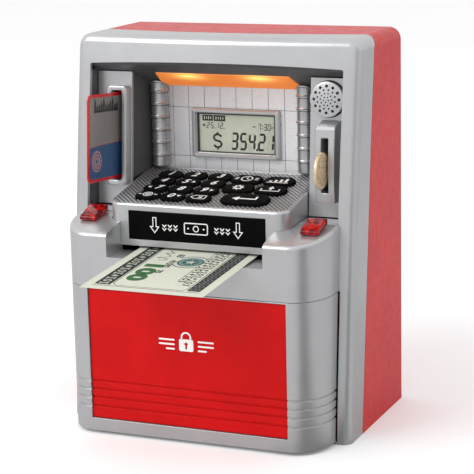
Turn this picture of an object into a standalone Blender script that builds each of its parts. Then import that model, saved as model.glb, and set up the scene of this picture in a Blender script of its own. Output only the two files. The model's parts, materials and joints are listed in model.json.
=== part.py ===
"""Toy cash-machine savings bank, built as an assembly of separate pieces.

Every size below is in millimetres, and mesh_object() turns it into metres.
X runs to the right as seen from the front, Y to the rear and Z up. The origin
is on the floor, in the middle of the base.
"""

import math

import bmesh
import bpy
from mathutils import Vector

MM = 0.001
GAP = 0.3  # clearance between neighbouring pieces

# Case: a rounded upright box, with its top corners rounded and its foot square.
CASE_HALF = 80.0
CASE_TOP = 206.5
CASE_REAR = 58.0
CASE_WALL = 2.5
CORNER_RADIUS = 6.5
REAR_FILLET = 4.0
SIDE_STATIONS = (30.0, 79.7, 80.5, 118.0, 155.0)  # heights of the points up each side
TOP_STATIONS = (-60.0, -48.0, -36.0, -24.0, -12.0)  # points across the top, left half
ARC_STEPS = 8  # flats in each rounded top corner
FILLET_STEPS = 6  # flats across each rounded edge of the case and the frame

# Parting line between the red case and the silver frame.
PARTING_FOOT = -12.1
PARTING_LEAN = 0.108
PARTING_CREST = 5.0
PARTING_BOW = 8.3
CREST_START = 198.0

# Frame: its front face leans back, more so towards its head, and bows forward in the middle.
FACE_FOOT = -31.9
FACE_LEAN = 0.0572
FACE_CURL = 0.000243
FACE_BOW = 4.5
FRAME_FILLET = 4.2
FRAME_SHEET = 2.5
FRAME_WALL = 2.2
FRAME_SILL = 1.4
DOORWAY_HALF = 73.2
DOORWAY_TOP = 80.1
RECESS_HALF = 71.4

# Recess behind the frame: its ceiling slopes down to the tiled back wall.
WALL_Y = 12.0
WALL_SHEET = 2.0
CEILING_AT_WALL = 177.3
CEILING_SLOPE = 0.56
PANEL_LEAN = 0.0815
PANEL_FLOOR_Y = -19.9  # where the panels' plane meets the floor
PANEL_HEAD = 186.0
PANEL_INNER = 50.9
PANEL_SHEET = 2.0
PANEL_FOOT = 114.7
LINER = 1.8
LAMP_FRONT = -3.0
LAMP_REAR = 11.5
LAMP_HALF_FRONT = 38.0
LAMP_HALF_REAR = 40.5
LAMP_DROP = 0.4  # how far the diffuser stands below the ceiling
PILLAR_X = 42.2
PILLAR_Y = 10.4
PILLAR_RADIUS = 4.8
PILLAR_FOOT = 132.5
PILLAR_STEPS = 20
PILLAR_SUNK = 0.6  # how far its rear reaches into the back wall
COLLARS = 6
COLLAR_RADIUS = PILLAR_RADIUS + 0.5
COLLAR_HALF = 0.4
COLLAR_PITCH = 6.9
COLLAR_FIRST = 139.7

# Display.
LCD_X = 1.8
LCD_Z = 152.2
BEZEL_WIDE, BEZEL_HIGH, BEZEL_PROUD = 51.0, 26.6, 2.6
WINDOW_WIDE, WINDOW_HIGH = 45.0, 21.4

# Front body: shoulders above, door below.
BODY_HALF = 72.6
BODY_FRONT = -57.0
BODY_FLAT_HALF = 56.0
BODY_CORNER_Y = -33.0
BODY_WALL = 2.2
BODY_CORNER_STEPS = 12
SEAM_Z = 80.2
SHOULDER_FRONT_Z = 108.5
SHOULDER_RISE = 5.7
SHOULDER_RUN = 34.0
SHOULDER_ROUND = 2.0
EDGE_STEPS = 4  # flats across the rounded edges of the shoulders and the deck
LEDGE_TOP = SHOULDER_FRONT_Z + SHOULDER_RISE
LEDGE_THICK = 4.0
LEDGE_Y = (-25.5, -11.0)

# Console with the keypad deck on top.
CONSOLE_FRONT = -39.9
CONSOLE_HALF = 50.5
CONSOLE_CORNER = 7.0
CONSOLE_CORNER_STEPS = 8
CONSOLE_LIP_Z = 99.6
CONSOLE_WALL = 2.0
CONSOLE_REAR = 11.4
DECK_FRONT_Z = 122.0
DECK_SLOPE = 0.1985
DECK_SHEET = 2.0
DECK_ROUND = 1.6
SHELF_Z = 96.5
SHELF_HALF = 43.5
SIGN_HALF = 38.3
SIGN_Z = (103.2, 118.1)

# Keys: column and row centres, and (width, depth). The enter key is (x, y, width, depth).
NUMBER_COLUMNS = (-31.1, -16.8, -2.2)
NUMBER_ROWS = (-1.7, -11.3, -21.1, -30.9)
NUMBER_KEY = (13.4, 8.9)
MENU_COLUMNS = (13.8, 32.0)
MENU_ROWS = (-3.2, -15.3)
MENU_KEY = (17.0, 10.8)
ENTER_KEY = (23.2, -28.9, 26.0, 13.2)
KEY_PROUD = 2.0
KEY_SUNK = 3.2
KEY_BEVEL = 0.9

# Door.
DOOR_BOTTOM = 1.8
DOOR_TOP = 79.9
DOOR_WALL = 2.2
HINGE_X, HINGE_Y = -66.0, -38.0
HINGE_PIN = 1.6
GROOVES = (15.2, 20.0, 24.6, 29.1)
GROOVE_HALF = 0.6
GROOVE_DEPTH = 0.8
PANEL_HALF = 55.5
PANEL_Z = (8.5, 79.2)
PANEL_FRONT = -56.0

# Card, coin and note slots.
LEAN_ANGLE = math.atan(PANEL_LEAN)
CARD_X = -58.0
CARD_Z = 152.2
CARD_TALL, CARD_LONG, CARD_THICK = 46.0, 71.0, 1.0
CARD_OUT = 33.0
CARD_BEZEL_WIDE, CARD_BEZEL_TALL, CARD_BEZEL_PROUD = 12.6, 54.0, 5.0
CARD_SLOT_WIDE, CARD_SLOT_TALL = 6.0, 47.8
COIN_X = 62.4
COIN_SLOT_WIDE = 3.8
COIN_SLOT_Z = (128.0, 156.0)
COIN_RADIUS, COIN_THICK = 9.3, 1.7
COIN_Z = 140.0
COIN_OUT = 14.0
POD_X = (57.2, 67.8)
POD_FRONT = ((122.8, 6.8), (130.0, 8.6), (137.0, 9.6), (144.0, 9.9), (152.0, 9.9))  # (z, out)
POD_HEAD = ((160.2, 9.6), (161.8, 8.5), (164.6, 1.6))
SPEAKER_X, SPEAKER_Z, SPEAKER_RADIUS = 60.8, 175.3, 9.2
NOTE_SLOPE = 0.07
NOTE_MOUTH_Z = 98.1
NOTE_HALF, NOTE_LONG, NOTE_OUT, NOTE_THICK = 33.1, 110.0, 67.0, 0.4
LEFT_LENS_X = (-65.7, -56.3)
RIGHT_LENS_X = (58.3, 67.7)
LENS_Y = (-43.2, -28.0)

# Note feed.
ROLLER_Y = -26.0
DRIVE_RADIUS, PINCH_RADIUS = 5.0, 4.0
SHAFT_RADIUS = 1.4
TYRE_X = (16.0, 26.0)  # near and far side of each roller's tyres
GEAR_TEETH, PINION_TEETH, GEAR_MODULE = 20, 8, 1.0
GEAR_X = (37.2, 40.7)
GEAR_SPREAD = 14.3  # centre distance, with a little backlash
MOTOR_BELOW = 3.5  # how far the motor's axis lies under the roller's
MOTOR_RADIUS = 7.2
FEED_PLATE = (34.0, 36.0)

# Battery box, boards and lock.
CELL_BOX = ((-30.0, 36.5, 110.5), (30.0, 54.9, 159.5))
CELL_DOOR_HALF = 28.0
CELL_DOOR_Z = (112.5, 157.5)
SCREW_X = 72.0
SCREW_Z = (14.0, 194.0)
BOLT_X, BOLT_Y = 57.5, -40.0
BOLT_HALF = 2.5
COIL_FOOT = 95.0  # underside of the lock's coil body
COIL_HALF_X, COIL_HALF_Y, COIL_TALL = 5.8, 6.0, 12.4


# ---------------------------------------------------------------- materials

COLOURS = {
    "silver": ((0.62, 0.62, 0.64), 0.38, 0.35),
    "red": ((0.72, 0.02, 0.02), 0.35, 0.0),
    "dark": ((0.08, 0.08, 0.085), 0.5, 0.0),
    "black": ((0.015, 0.015, 0.017), 0.55, 0.0),
    "orange": ((0.9, 0.3, 0.05), 0.25, 0.0),
    "red_clear": ((0.75, 0.02, 0.03), 0.12, 0.0),
    "screen": ((0.55, 0.6, 0.48), 0.2, 0.0),
    "green": ((0.05, 0.25, 0.1), 0.5, 0.0),
    "steel": ((0.6, 0.6, 0.6), 0.3, 1.0),
    "white": ((0.85, 0.85, 0.82), 0.5, 0.0),
    "rubber": ((0.03, 0.03, 0.03), 0.8, 0.0),
    "paper": ((0.75, 0.78, 0.68), 0.8, 0.0),
    "brass": ((0.7, 0.55, 0.3), 0.35, 1.0),
}


def material(colour):
    """The named material, made the first time it is asked for."""
    found = bpy.data.materials.get(colour)
    if found:
        return found
    (red, green, blue), roughness, metallic = COLOURS[colour]
    made = bpy.data.materials.new(colour)
    made.use_nodes = True
    shader = made.node_tree.nodes["Principled BSDF"]
    shader.inputs["Base Color"].default_value = (red, green, blue, 1.0)
    shader.inputs["Roughness"].default_value = roughness
    shader.inputs["Metallic"].default_value = metallic
    made.diffuse_color = (red, green, blue, 1.0)
    return made


# ------------------------------------------------------------ mesh building


def mesh_object(name, points, faces, colour, origin=(0.0, 0.0, 0.0)):
    """An object from points in world millimetres, with its origin at a given point."""
    shift = Vector(origin)
    mesh = bpy.data.meshes.new(name)
    mesh.from_pydata([(Vector(point) - shift) * MM for point in points], [], faces)
    shell = bmesh.new()
    shell.from_mesh(mesh)
    bmesh.ops.recalc_face_normals(shell, faces=shell.faces[:])
    shell.to_mesh(mesh)
    shell.free()
    mesh.materials.append(material(colour))
    obj = bpy.data.objects.new(name, mesh)
    obj.location = shift * MM
    bpy.context.scene.collection.objects.link(obj)
    return obj


def ring_faces(count, rings, ring_shaped):
    """Quads between each ring and the next one."""
    faces = []
    last = rings if ring_shaped else rings - 1
    for ring in range(last):
        below = ring * count
        above = (ring + 1) % rings * count
        for i in range(count):
            j = (i + 1) % count
            faces.append((below + i, below + j, above + j, above + i))
    return faces


def loft(name, rings, colour, ring_shaped=False, origin=(0.0, 0.0, 0.0)):
    """A solid through rings of points. Its ends are flat, or it closes on itself."""
    count = len(rings[0])
    faces = ring_faces(count, len(rings), ring_shaped)
    if not ring_shaped:
        faces.append(tuple(range(count)))
        faces.append(tuple(range((len(rings) - 1) * count, len(rings) * count)))
    points = [point for ring in rings for point in ring]
    return mesh_object(name, points, faces, colour, origin)


def loft_with_ruled_ends(name, rings, colour):
    """As loft, for mirrored rings whose end faces are ruled from left to right."""
    count = len(rings[0])
    faces = ring_faces(count, len(rings), False)
    for start in (0, (len(rings) - 1) * count):
        for i in range(count // 2 - 1):
            mirror = count - 1 - i
            faces.append((start + i, start + i + 1, start + mirror - 1, start + mirror))
    points = [point for ring in rings for point in ring]
    return mesh_object(name, points, faces, colour)


def box(name, low, high, colour="dark", origin=(0.0, 0.0, 0.0)):
    rings = []
    for z in (low[2], high[2]):
        rings.append(
            [(low[0], low[1], z), (high[0], low[1], z), (high[0], high[1], z), (low[0], high[1], z)]
        )
    return loft(name, rings, colour, origin=origin)


def slab_x(name, outline, low, high, colour="dark", origin=(0.0, 0.0, 0.0)):
    """A (y, z) outline carried from x = low to x = high."""
    rings = [[(x, y, z) for y, z in outline] for x in (low, high)]
    return loft(name, rings, colour, origin=origin)


def slab_y(name, outline, low, high, colour="dark"):
    """An (x, z) outline carried from y = low to y = high."""
    return loft(name, [[(x, y, z) for x, z in outline] for y in (low, high)], colour)


def circle(radius, steps, turn=0.0):
    angles = [turn + 2 * math.pi * step / steps for step in range(steps)]
    return [(radius * math.cos(angle), radius * math.sin(angle)) for angle in angles]


def turned_x(name, profile, y, z, colour, steps=16, origin=(0.0, 0.0, 0.0)):
    """A profile of (x, radius) turned about the line through (y, z) along X."""
    rings = [[(x, y + a, z + b) for a, b in circle(radius, steps)] for x, radius in profile]
    return loft(name, rings, colour, origin=origin)


def turned_y(name, profile, x, z, colour, steps=16):
    """A profile of (y, radius) turned about the line through (x, z) along Y."""
    rings = [[(x + a, y, z + b) for a, b in circle(radius, steps)] for y, radius in profile]
    return loft(name, rings, colour)


def turned_z(name, profile, x, y, colour, steps=16, origin=(0.0, 0.0, 0.0)):
    """A profile of (z, radius) turned about the line through (x, y) along Z."""
    rings = [[(x + a, y + b, z) for a, b in circle(radius, steps)] for z, radius in profile]
    return loft(name, rings, colour, origin=origin)


def boolean(obj, other, operation):
    """Adds an exact Boolean to obj, and hides the other shape as a helper."""
    modifier = obj.modifiers.new(operation.title(), "BOOLEAN")
    modifier.operation = operation
    modifier.solver = "EXACT"
    modifier.object = other
    other.hide_render = True
    other.display_type = "WIRE"


def cut(obj, *others):
    for other in others:
        boolean(obj, other, "DIFFERENCE")
    return obj


def join(obj, *others):
    for other in others:
        boolean(obj, other, "UNION")
    return obj


# ------------------------------------------------------- surfaces and planes


def face_y(x, z):
    """Front face of the frame."""
    edge = FACE_FOOT + FACE_LEAN * z + FACE_CURL * z**2
    return edge - FACE_BOW * (1 - (x / CASE_HALF) ** 2)


def panel_y(z):
    """Front of the card and coin panels."""
    return PANEL_FLOOR_Y + PANEL_LEAN * z


def parting_y(x, z):
    """Parting line: it leans like the face, and bows forward across the top."""
    crest = min(max((z - CREST_START) / (CASE_TOP - CREST_START), 0.0), 1.0)
    bow = PARTING_BOW * (1 - (x / (CASE_HALF - 4)) ** 2)
    return PARTING_FOOT + PARTING_LEAN * z + crest * (PARTING_CREST - max(bow, 0.0))


def ceiling_z(y):
    return CEILING_AT_WALL + CEILING_SLOPE * (WALL_Y - y)


def opening_top(x):
    """Height at which the sloping ceiling meets the frame's bowed face."""
    z = CEILING_AT_WALL
    for _ in range(12):
        z = ceiling_z(face_y(x, z))
    return z


def shoulder_z(y):
    """Top of the shoulders: steep at the front and easing off towards the rear."""
    part = min(max((y - BODY_FRONT) / SHOULDER_RUN, 0.0), 1.0)
    return SHOULDER_FRONT_Z + SHOULDER_RISE * (1 - (1 - part) ** 1.5)


def deck_z(y):
    return DECK_FRONT_Z + DECK_SLOPE * (y - CONSOLE_FRONT)


def note_z(y):
    """Middle of the banknote's path."""
    return NOTE_MOUTH_Z + NOTE_SLOPE * (y - CONSOLE_FRONT)


def deck_point(x, y, lift):
    """A point lifted off the deck along the deck's normal."""
    slope = math.atan(DECK_SLOPE)
    return (x, y - lift * math.sin(slope), deck_z(y) + lift * math.cos(slope))


def panel_point(x, out, z):
    """A point at height z on the panels' plane, moved out along the plane's normal."""
    return (x, panel_y(z) - out * math.cos(LEAN_ANGLE), z + out * math.sin(LEAN_ANGLE))


def panel_box(name, x, out, z, colour="dark", origin=(0.0, 0.0, 0.0)):
    """A box square to the panels' plane, from (low, high) pairs of x, out and z."""
    rings = []
    for height in z:
        rings.append(
            [
                panel_point(x[0], out[0], height),
                panel_point(x[1], out[0], height),
                panel_point(x[1], out[1], height),
                panel_point(x[0], out[1], height),
            ]
        )
    return loft(name, rings, colour, origin=origin)


def both_halves(left, middle=()):
    """A symmetric outline from its left half, in order."""
    return list(left) + list(middle) + [(-x, other) for x, other in reversed(left)]


# ---------------------------------------------------------- case and frame


def case_outline(inset, base):
    """Front view of the case as (x, z), from the left foot over the top to the right foot."""
    half = CASE_HALF - inset
    top = CASE_TOP - inset
    radius = max(CORNER_RADIUS - inset, 1.0)
    left = [(-half, base)] + [(-half, z) for z in SIDE_STATIONS]
    for step in range(ARC_STEPS + 1):
        turn = math.radians(90 * step / ARC_STEPS)
        x = -(half - radius) - radius * math.cos(turn)
        left.append((x, top - radius + radius * math.sin(turn)))
    left += [(x, top) for x in TOP_STATIONS]
    return both_halves(left, [(0.0, top)])


def opening_outline():
    """Doorway below and recess above, with as many points as case_outline."""
    low, low_middle, low_top, high_foot, high_low, high_middle = (
        (FRAME_SILL + 0.2,) + SIDE_STATIONS[:1] + (DOORWAY_TOP, DOORWAY_TOP) + SIDE_STATIONS[3:]
    )
    left = [(-DOORWAY_HALF, z) for z in (low, low_middle, low_top)]
    left += [(-RECESS_HALF, z) for z in (high_foot, high_low, high_middle)]
    radius = 1.0
    corner_z = opening_top(RECESS_HALF) - radius
    for step in range(ARC_STEPS + 1):
        turn = math.radians(90 * step / ARC_STEPS)
        x = -(RECESS_HALF - radius) - radius * math.cos(turn)
        left.append((x, corner_z + radius * math.sin(turn)))
    left += [(x, opening_top(x)) for x in TOP_STATIONS]
    return both_halves(left, [(0.0, opening_top(0.0))])


def rear_case():
    """Red shell: sides, top, base and rear wall, with the battery opening."""
    inner = case_outline(CASE_WALL, CASE_WALL)
    outer = case_outline(0.0, 0.0)
    rings = [
        [(x, CASE_REAR - CASE_WALL, z) for x, z in inner],
        [(x, parting_y(x, z) + GAP / 2, z) for x, z in inner],
        [(x, parting_y(x, z) + GAP / 2, z) for x, z in outer],
    ]
    for step in range(FILLET_STEPS + 1):
        turn = math.radians(90 * step / FILLET_STEPS)
        inset = REAR_FILLET * (1 - math.cos(turn))
        y = CASE_REAR - REAR_FILLET * (1 - math.sin(turn))
        rings.append([(x, y, z) for x, z in case_outline(inset, 0.0)])
    case = loft("rear_case", rings, "red")
    low, high = CELL_DOOR_Z
    half = CELL_DOOR_HALF + 0.5
    cut(case, box("battery_opening", (-half, 50, low - 0.5), (half, 60, high + 0.5)))
    for side in (-1, 1):
        for z in SCREW_Z:
            bore = [(50.0, 1.7), (56.3, 1.7), (56.3, 3.0), (60.0, 3.0)]
            cut(case, turned_y("screw_bore", bore, side * SCREW_X, z, "dark", 12))
    return case


def front_frame():
    """Silver bezel that closes the case, with the recess opening and the doorway."""
    outer = case_outline(0.0, 0.0)
    rings = [[(x, parting_y(x, z) - GAP / 2, z) for x, z in outer]]
    for step in range(FILLET_STEPS + 1):
        turn = math.radians(90 * step / FILLET_STEPS)
        inset = FRAME_FILLET * (1 - math.cos(turn))
        set_back = FRAME_FILLET * (1 - math.sin(turn))
        outline = case_outline(inset, 0.0)
        rings.append([(x, face_y(x, z) + set_back, z) for x, z in outline])
    opening = opening_outline()
    rings.append([(x, face_y(x, z), z) for x, z in opening])
    rings.append([(x, face_y(x, z) + FRAME_SHEET, z) for x, z in opening])
    inner = case_outline(FRAME_WALL, FRAME_SILL)
    rings.append([(x, face_y(x, z) + FRAME_SHEET, z) for x, z in inner])
    rings.append([(x, parting_y(x, z) - GAP / 2, z) for x, z in inner])
    frame = loft("front_frame", rings, "silver", ring_shaped=True)
    tongue = box("hinge_tongue", (HINGE_X - 5, HINGE_Y - 5, 0.0), (HINGE_X + 5, -26.0, 1.3))
    stub = turned_z("hinge_stub", [(0.6, HINGE_PIN), (7.0, HINGE_PIN)], HINGE_X, HINGE_Y, "silver", 12)
    join(frame, tongue, stub)
    for side in (-1, 1):
        for z, start in zip(SCREW_Z, (-20.0, 2.0)):
            post = [(start, 3.2), (CASE_REAR - CASE_WALL - GAP, 3.2)]
            hole = [(40.0, 1.5), (60.0, 1.5)]
            x = side * SCREW_X
            rib_x = sorted((x, side * (CASE_HALF - 1)))
            rib = box("screw_rib", (rib_x[0], start, z - 1.5), (rib_x[1], start + 5, z + 1.5))
            join(frame, turned_y("screw_post", post, x, z, "silver", 12), rib)
            cut(frame, turned_y("screw_hole", hole, x, z, "silver", 12))
    return frame


def case_screws():
    """Four pan-head screws that hold the case to the frame's posts."""
    places = [(side * SCREW_X, z) for side in (-1, 1) for z in SCREW_Z]
    for number, (x, z) in enumerate(places, 1):
        profile = [(42.0, 1.1), (56.6, 1.1), (56.6, 2.6), (57.4, 2.6), (57.9, 1.9)]
        turned_y(f"case_screw_{number}", profile, x, z, "steel", 12)


# ------------------------------------------------------------------- recess


def recess_hood():
    """Dark liner of the recess: its ceiling, its outer reveals and its inner side walls."""
    stations = [-RECESS_HALF - LINER] + list(TOP_STATIONS) + [0.0]
    stations += [-x for x in reversed(stations[:-1])]
    rings = []
    for x in stations:
        front = face_y(x, opening_top(x)) + FRAME_SHEET + GAP
        low = [(front, ceiling_z(front)), (WALL_Y, ceiling_z(WALL_Y))]
        rings.append([(x, y, z) for y, z in low] + [(x, y, z + LINER) for y, z in reversed(low)])
    hood = loft("recess_hood", rings, "dark")
    for side in (-1, 1):
        join(hood, recess_reveal(side), inner_side_wall(side))
    spread = (LAMP_HALF_REAR - LAMP_HALF_FRONT) / (LAMP_REAR - LAMP_FRONT)
    left = []
    for y in (LAMP_FRONT - GAP, WALL_Y + 3):
        left.append((-LAMP_HALF_FRONT - spread * (y - LAMP_FRONT) - GAP, y))
    hole = both_halves(left)
    window = loft("lamp_window", [[(x, y, z) for x, y in hole] for z in (170.0, 200.0)], "dark")
    cut(hood, window)
    for side in (-1, 1):
        near, far = sorted((side * (PANEL_INNER + LINER), side * (RECESS_HALF + 3)))
        behind_low = (near, panel_y(PANEL_HEAD) + 4.5, 170.0)
        cut(hood, box("behind_panel", behind_low, (far, WALL_Y + 3, 200.0)))
    return hood


def recess_reveal(side):
    """Side of the recess between the frame's sheet and the card or coin panel."""
    outline = []
    for z in (PANEL_FOOT, ceiling_z(panel_y(PANEL_HEAD)) + 1.0):
        outline.append((face_y(RECESS_HALF, z) + FRAME_SHEET + GAP, z))
    outline += [(panel_y(z) + 4.0, z) for _, z in reversed(outline)]
    inside, outside = sorted((side * RECESS_HALF, side * (RECESS_HALF + LINER)))
    return slab_x("recess_reveal", outline, inside, outside)


def inner_side_wall(side):
    """Wall from a panel's inner edge back to the pillar, standing clear of the deck."""
    rings = []
    for y, inner in ((-9.0, PANEL_INNER), (WALL_Y - GAP, 47.6)):
        foot = deck_z(y) + GAP + 0.3
        head = ceiling_z(y) + 1.0
        beside_panel = y < 0
        front_low = max(y, panel_y(foot) + PANEL_SHEET + GAP) if beside_panel else y
        front_high = max(y, panel_y(head) + PANEL_SHEET + GAP) if beside_panel else y
        outer = inner + LINER
        rings.append(
            [
                (side * inner, front_low, foot),
                (side * outer, front_low, foot),
                (side * outer, front_high, head),
                (side * inner, front_high, head),
            ]
        )
    return loft("inner_side_wall", rings, "dark")


def side_panel(name, side):
    """Silver panel beside the display, parallel to the frame's face."""
    front = panel_y(PANEL_HEAD)
    rear = front + PANEL_SHEET
    outline = [(panel_y(PANEL_FOOT), PANEL_FOOT)]
    outline += [(y, ceiling_z(y) - 2 * GAP) for y in (front, rear)]
    outline.append((panel_y(PANEL_FOOT) + PANEL_SHEET, PANEL_FOOT))
    inside, outside = sorted((side * PANEL_INNER, side * (RECESS_HALF - GAP)))
    return slab_x(name, outline, inside, outside, "silver")


def card_panel():
    panel = side_panel("card_panel", -1)
    half = CARD_BEZEL_WIDE / 2 - 1.5
    tall = CARD_BEZEL_TALL / 2 - 1.5
    hole_x = (CARD_X - half - GAP, CARD_X + half + GAP)
    hole_z = (CARD_Z - tall - GAP, CARD_Z + tall + GAP)
    return cut(panel, panel_box("card_hole", hole_x, (-8, 5), hole_z))


def coin_panel():
    panel = side_panel("coin_panel", 1)
    hole_x = (COIN_X - COIN_SLOT_WIDE / 2 - 1.6, COIN_X + COIN_SLOT_WIDE / 2 + 1.6)
    hole_z = (COIN_SLOT_Z[0] - 1.6, COIN_SLOT_Z[1] + 1.6)
    speaker = [(-30.0, SPEAKER_RADIUS + GAP), (20.0, SPEAKER_RADIUS + GAP)]
    round_hole = turned_y("speaker_hole", speaker, SPEAKER_X, SPEAKER_Z, "dark", 40)
    return cut(panel, panel_box("coin_hole", hole_x, (-8, 5), hole_z), round_hole)


def tile_wall():
    """Back wall of the recess, with the display window and a ribbed pillar at each side."""
    wall = box("tile_wall", (-46.0, WALL_Y, 121.0), (46.0, WALL_Y + WALL_SHEET, 178.6), "silver")
    for side in (-1, 1):
        join(wall, pillar(side))
    half_wide = WINDOW_WIDE / 2 + 2.6
    half_high = WINDOW_HIGH / 2 + 1.6
    low = (LCD_X - half_wide, 0.0, LCD_Z - half_high)
    high = (LCD_X + half_wide, 20.0, LCD_Z + half_high)
    return cut(wall, box("display_hole", low, high))


def pillar_ring(side, radius, height):
    """A ring of a pillar, cut flat inside the back wall. height gives z at a given y."""
    ring = []
    for a, b in circle(radius, PILLAR_STEPS):
        y = min(PILLAR_Y + b, WALL_Y + PILLAR_SUNK)
        ring.append((side * PILLAR_X + a, y, height(y)))
    return ring


def pillar(side):
    """Round pillar with collars. Its head is cut off aslant just under the ceiling."""
    profile = [(PILLAR_FOOT, PILLAR_RADIUS)]
    for collar in range(COLLARS):
        z = COLLAR_FIRST + collar * COLLAR_PITCH
        profile += [(z - COLLAR_HALF, PILLAR_RADIUS), (z - COLLAR_HALF / 2, COLLAR_RADIUS)]
        profile += [(z + COLLAR_HALF / 2, COLLAR_RADIUS), (z + COLLAR_HALF, PILLAR_RADIUS)]
    rings = [pillar_ring(side, radius, lambda y, z=z: z) for z, radius in profile]
    for below, radius in ((1.1, PILLAR_RADIUS), (0.9, COLLAR_RADIUS), (0.0, COLLAR_RADIUS)):
        drop = LAMP_DROP + 1.3 * GAP + below
        rings.append(pillar_ring(side, radius, lambda y, drop=drop: ceiling_z(y) - drop))
    return loft("pillar", rings, "silver")


def lamp_lens():
    """Orange diffuser set into the ceiling."""
    rings = []
    for lift in (-LAMP_DROP, LINER - LAMP_DROP):
        rings.append(
            [
                (-LAMP_HALF_FRONT, LAMP_FRONT, ceiling_z(LAMP_FRONT) + lift),
                (LAMP_HALF_FRONT, LAMP_FRONT, ceiling_z(LAMP_FRONT) + lift),
                (LAMP_HALF_REAR, LAMP_REAR, ceiling_z(LAMP_REAR) + lift),
                (-LAMP_HALF_REAR, LAMP_REAR, ceiling_z(LAMP_REAR) + lift),
            ]
        )
    return loft("lamp_lens", rings, "orange")


def lamp_board():
    """Narrow board above the diffuser, with one lamp near each end."""
    y = 3.0
    base = ceiling_z(y) + 9.0
    board = box("lamp_board", (-36.0, y - 4.0, base), (36.0, y + 4.0, base + 1.6), "green")
    for x in (-20.0, 20.0):
        dome = [(base - 5.0, 1.2), (base - 4.0, 2.4), (base + 0.5, 2.5)]
        join(board, turned_z("lamp_dome", dome, x, y, "white", 10))
    return board


def lcd_bezel():
    """Raised surround of the display."""
    wide, high = BEZEL_WIDE / 2, BEZEL_HIGH / 2
    low = (LCD_X - wide, WALL_Y - BEZEL_PROUD, LCD_Z - high)
    far = (LCD_X + wide, WALL_Y - GAP, LCD_Z + high)
    bezel = box("lcd_bezel", low, far, "silver")
    wide, high = WINDOW_WIDE / 2, WINDOW_HIGH / 2
    hole = box("bezel_hole", (LCD_X - wide, 0, LCD_Z - high), (LCD_X + wide, 20, LCD_Z + high))
    return cut(bezel, hole)


def lcd_module():
    """Display glass on its carrier, seen through the bezel."""
    wide, high = WINDOW_WIDE / 2 + 2.2, WINDOW_HIGH / 2 + 1.2
    low = (LCD_X - wide, WALL_Y + 0.2, LCD_Z - high)
    return box("lcd_module", low, (LCD_X + wide, WALL_Y + 5.0, LCD_Z + high), "screen")


def main_board():
    """Control board behind the back wall, with its processor and buzzer blocks."""
    board = box("main_board", (-38.0, 24.0, 118.0), (38.0, 25.6, 182.0), "green")
    chip = box("processor", (-10.0, 22.0, 140.0), (10.0, 24.5, 160.0), "black")
    plug = box("cable_plug", (18.0, 20.0, 124.0), (32.0, 24.5, 130.0), "white")
    return join(board, chip, plug)


# --------------------------------------------------------------- front body


def body_outline(inset, rear_y):
    """Plan of the front body as (x, y), from its left rear round to its right rear.

    Its corners are quarter ellipses. Where the rear rim lies in front of their
    ends, as near the floor, they start at the rim instead.
    """
    wide = BODY_HALF - BODY_FLAT_HALF - inset
    deep = BODY_CORNER_Y - BODY_FRONT - inset
    start = math.asin(max(BODY_CORNER_Y - rear_y, 0.0) / deep)
    left = [(-BODY_FLAT_HALF - wide * math.cos(start), rear_y)]
    if start > 0.0:
        start += (math.pi / 2 - start) / (3 * BODY_CORNER_STEPS)
    for step in range(BODY_CORNER_STEPS + 1):
        turn = start + (math.pi / 2 - start) * step / BODY_CORNER_STEPS
        x = -BODY_FLAT_HALF - wide * math.cos(turn)
        left.append((x, BODY_CORNER_Y - deep * math.sin(turn)))
    return both_halves(left)


def body_rear(z):
    """Rear rim of the front body, just clear of the frame's face."""
    return face_y(RECESS_HALF, z) - GAP


def upper_body():
    """Shoulders, note shelf and floor above the door."""
    rings = [[(x, y, SEAM_Z) for x, y in body_outline(0.0, body_rear(SEAM_Z))]]
    for step in range(EDGE_STEPS + 1):
        turn = math.radians(90 * step / EDGE_STEPS)
        inset = SHOULDER_ROUND * (1 - math.cos(turn))
        drop = SHOULDER_ROUND * (1 - math.sin(turn))
        outline = body_outline(inset, body_rear(LEDGE_TOP))
        rings.append([(x, y, shoulder_z(y) - drop) for x, y in outline])
    body = loft_with_ruled_ends("upper_body", rings, "silver")
    inner = body_outline(BODY_WALL, 5.0)
    floor = [(x, y, SEAM_Z + 2.0) for x, y in inner]
    roof = [(x, y, shoulder_z(y) - 2.4) for x, y in inner]
    cut(body, loft_with_ruled_ends("body_hollow", [floor, roof], "dark"))
    join(body, note_tub())
    for side in (-1, 1):
        inside, outside = sorted((side * (CONSOLE_HALF + 0.6), side * (RECESS_HALF - 0.4)))
        ledge_low = (inside, LEDGE_Y[0], LEDGE_TOP - LEDGE_THICK)
        join(body, box("ledge", ledge_low, (outside, LEDGE_Y[1], LEDGE_TOP)))
    notch_low = (-SHELF_HALF, -60.0, SHELF_Z)
    cut(body, box("note_notch", notch_low, (SHELF_HALF, -30.0, 130.0)))
    well = [[(x, y, z) for x, y in console_outline(-GAP, 10.0)] for z in (CONSOLE_LIP_Z - GAP, 140.0)]
    cut(body, loft("console_well", well, "dark"))
    half = BOLT_HALF + 0.4
    bolt_low = (BOLT_X - half, BOLT_Y - half, SEAM_Z - 1)
    cut(body, box("bolt_hole", bolt_low, (BOLT_X + half, BOLT_Y + half, SEAM_Z + 3)))
    stub = [(SEAM_Z - 6.0, HINGE_PIN), (SEAM_Z + 1.0, HINGE_PIN)]
    return join(body, turned_z("upper_stub", stub, HINGE_X, HINGE_Y, "silver", 12))


def note_tub():
    """Block under and beside the note shelf."""
    front, rear = BODY_FRONT + 0.6, -37.9
    steps = 4
    outline = [(front, SHELF_Z - 2.2), (rear, SHELF_Z - 2.2)]
    for step in range(steps + 1):
        y = rear + (front - rear) * step / steps
        outline.append((y, shoulder_z(y) - 0.5))
    return slab_x("note_tub", outline, -SHELF_HALF - 2.2, SHELF_HALF + 2.2)


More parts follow.
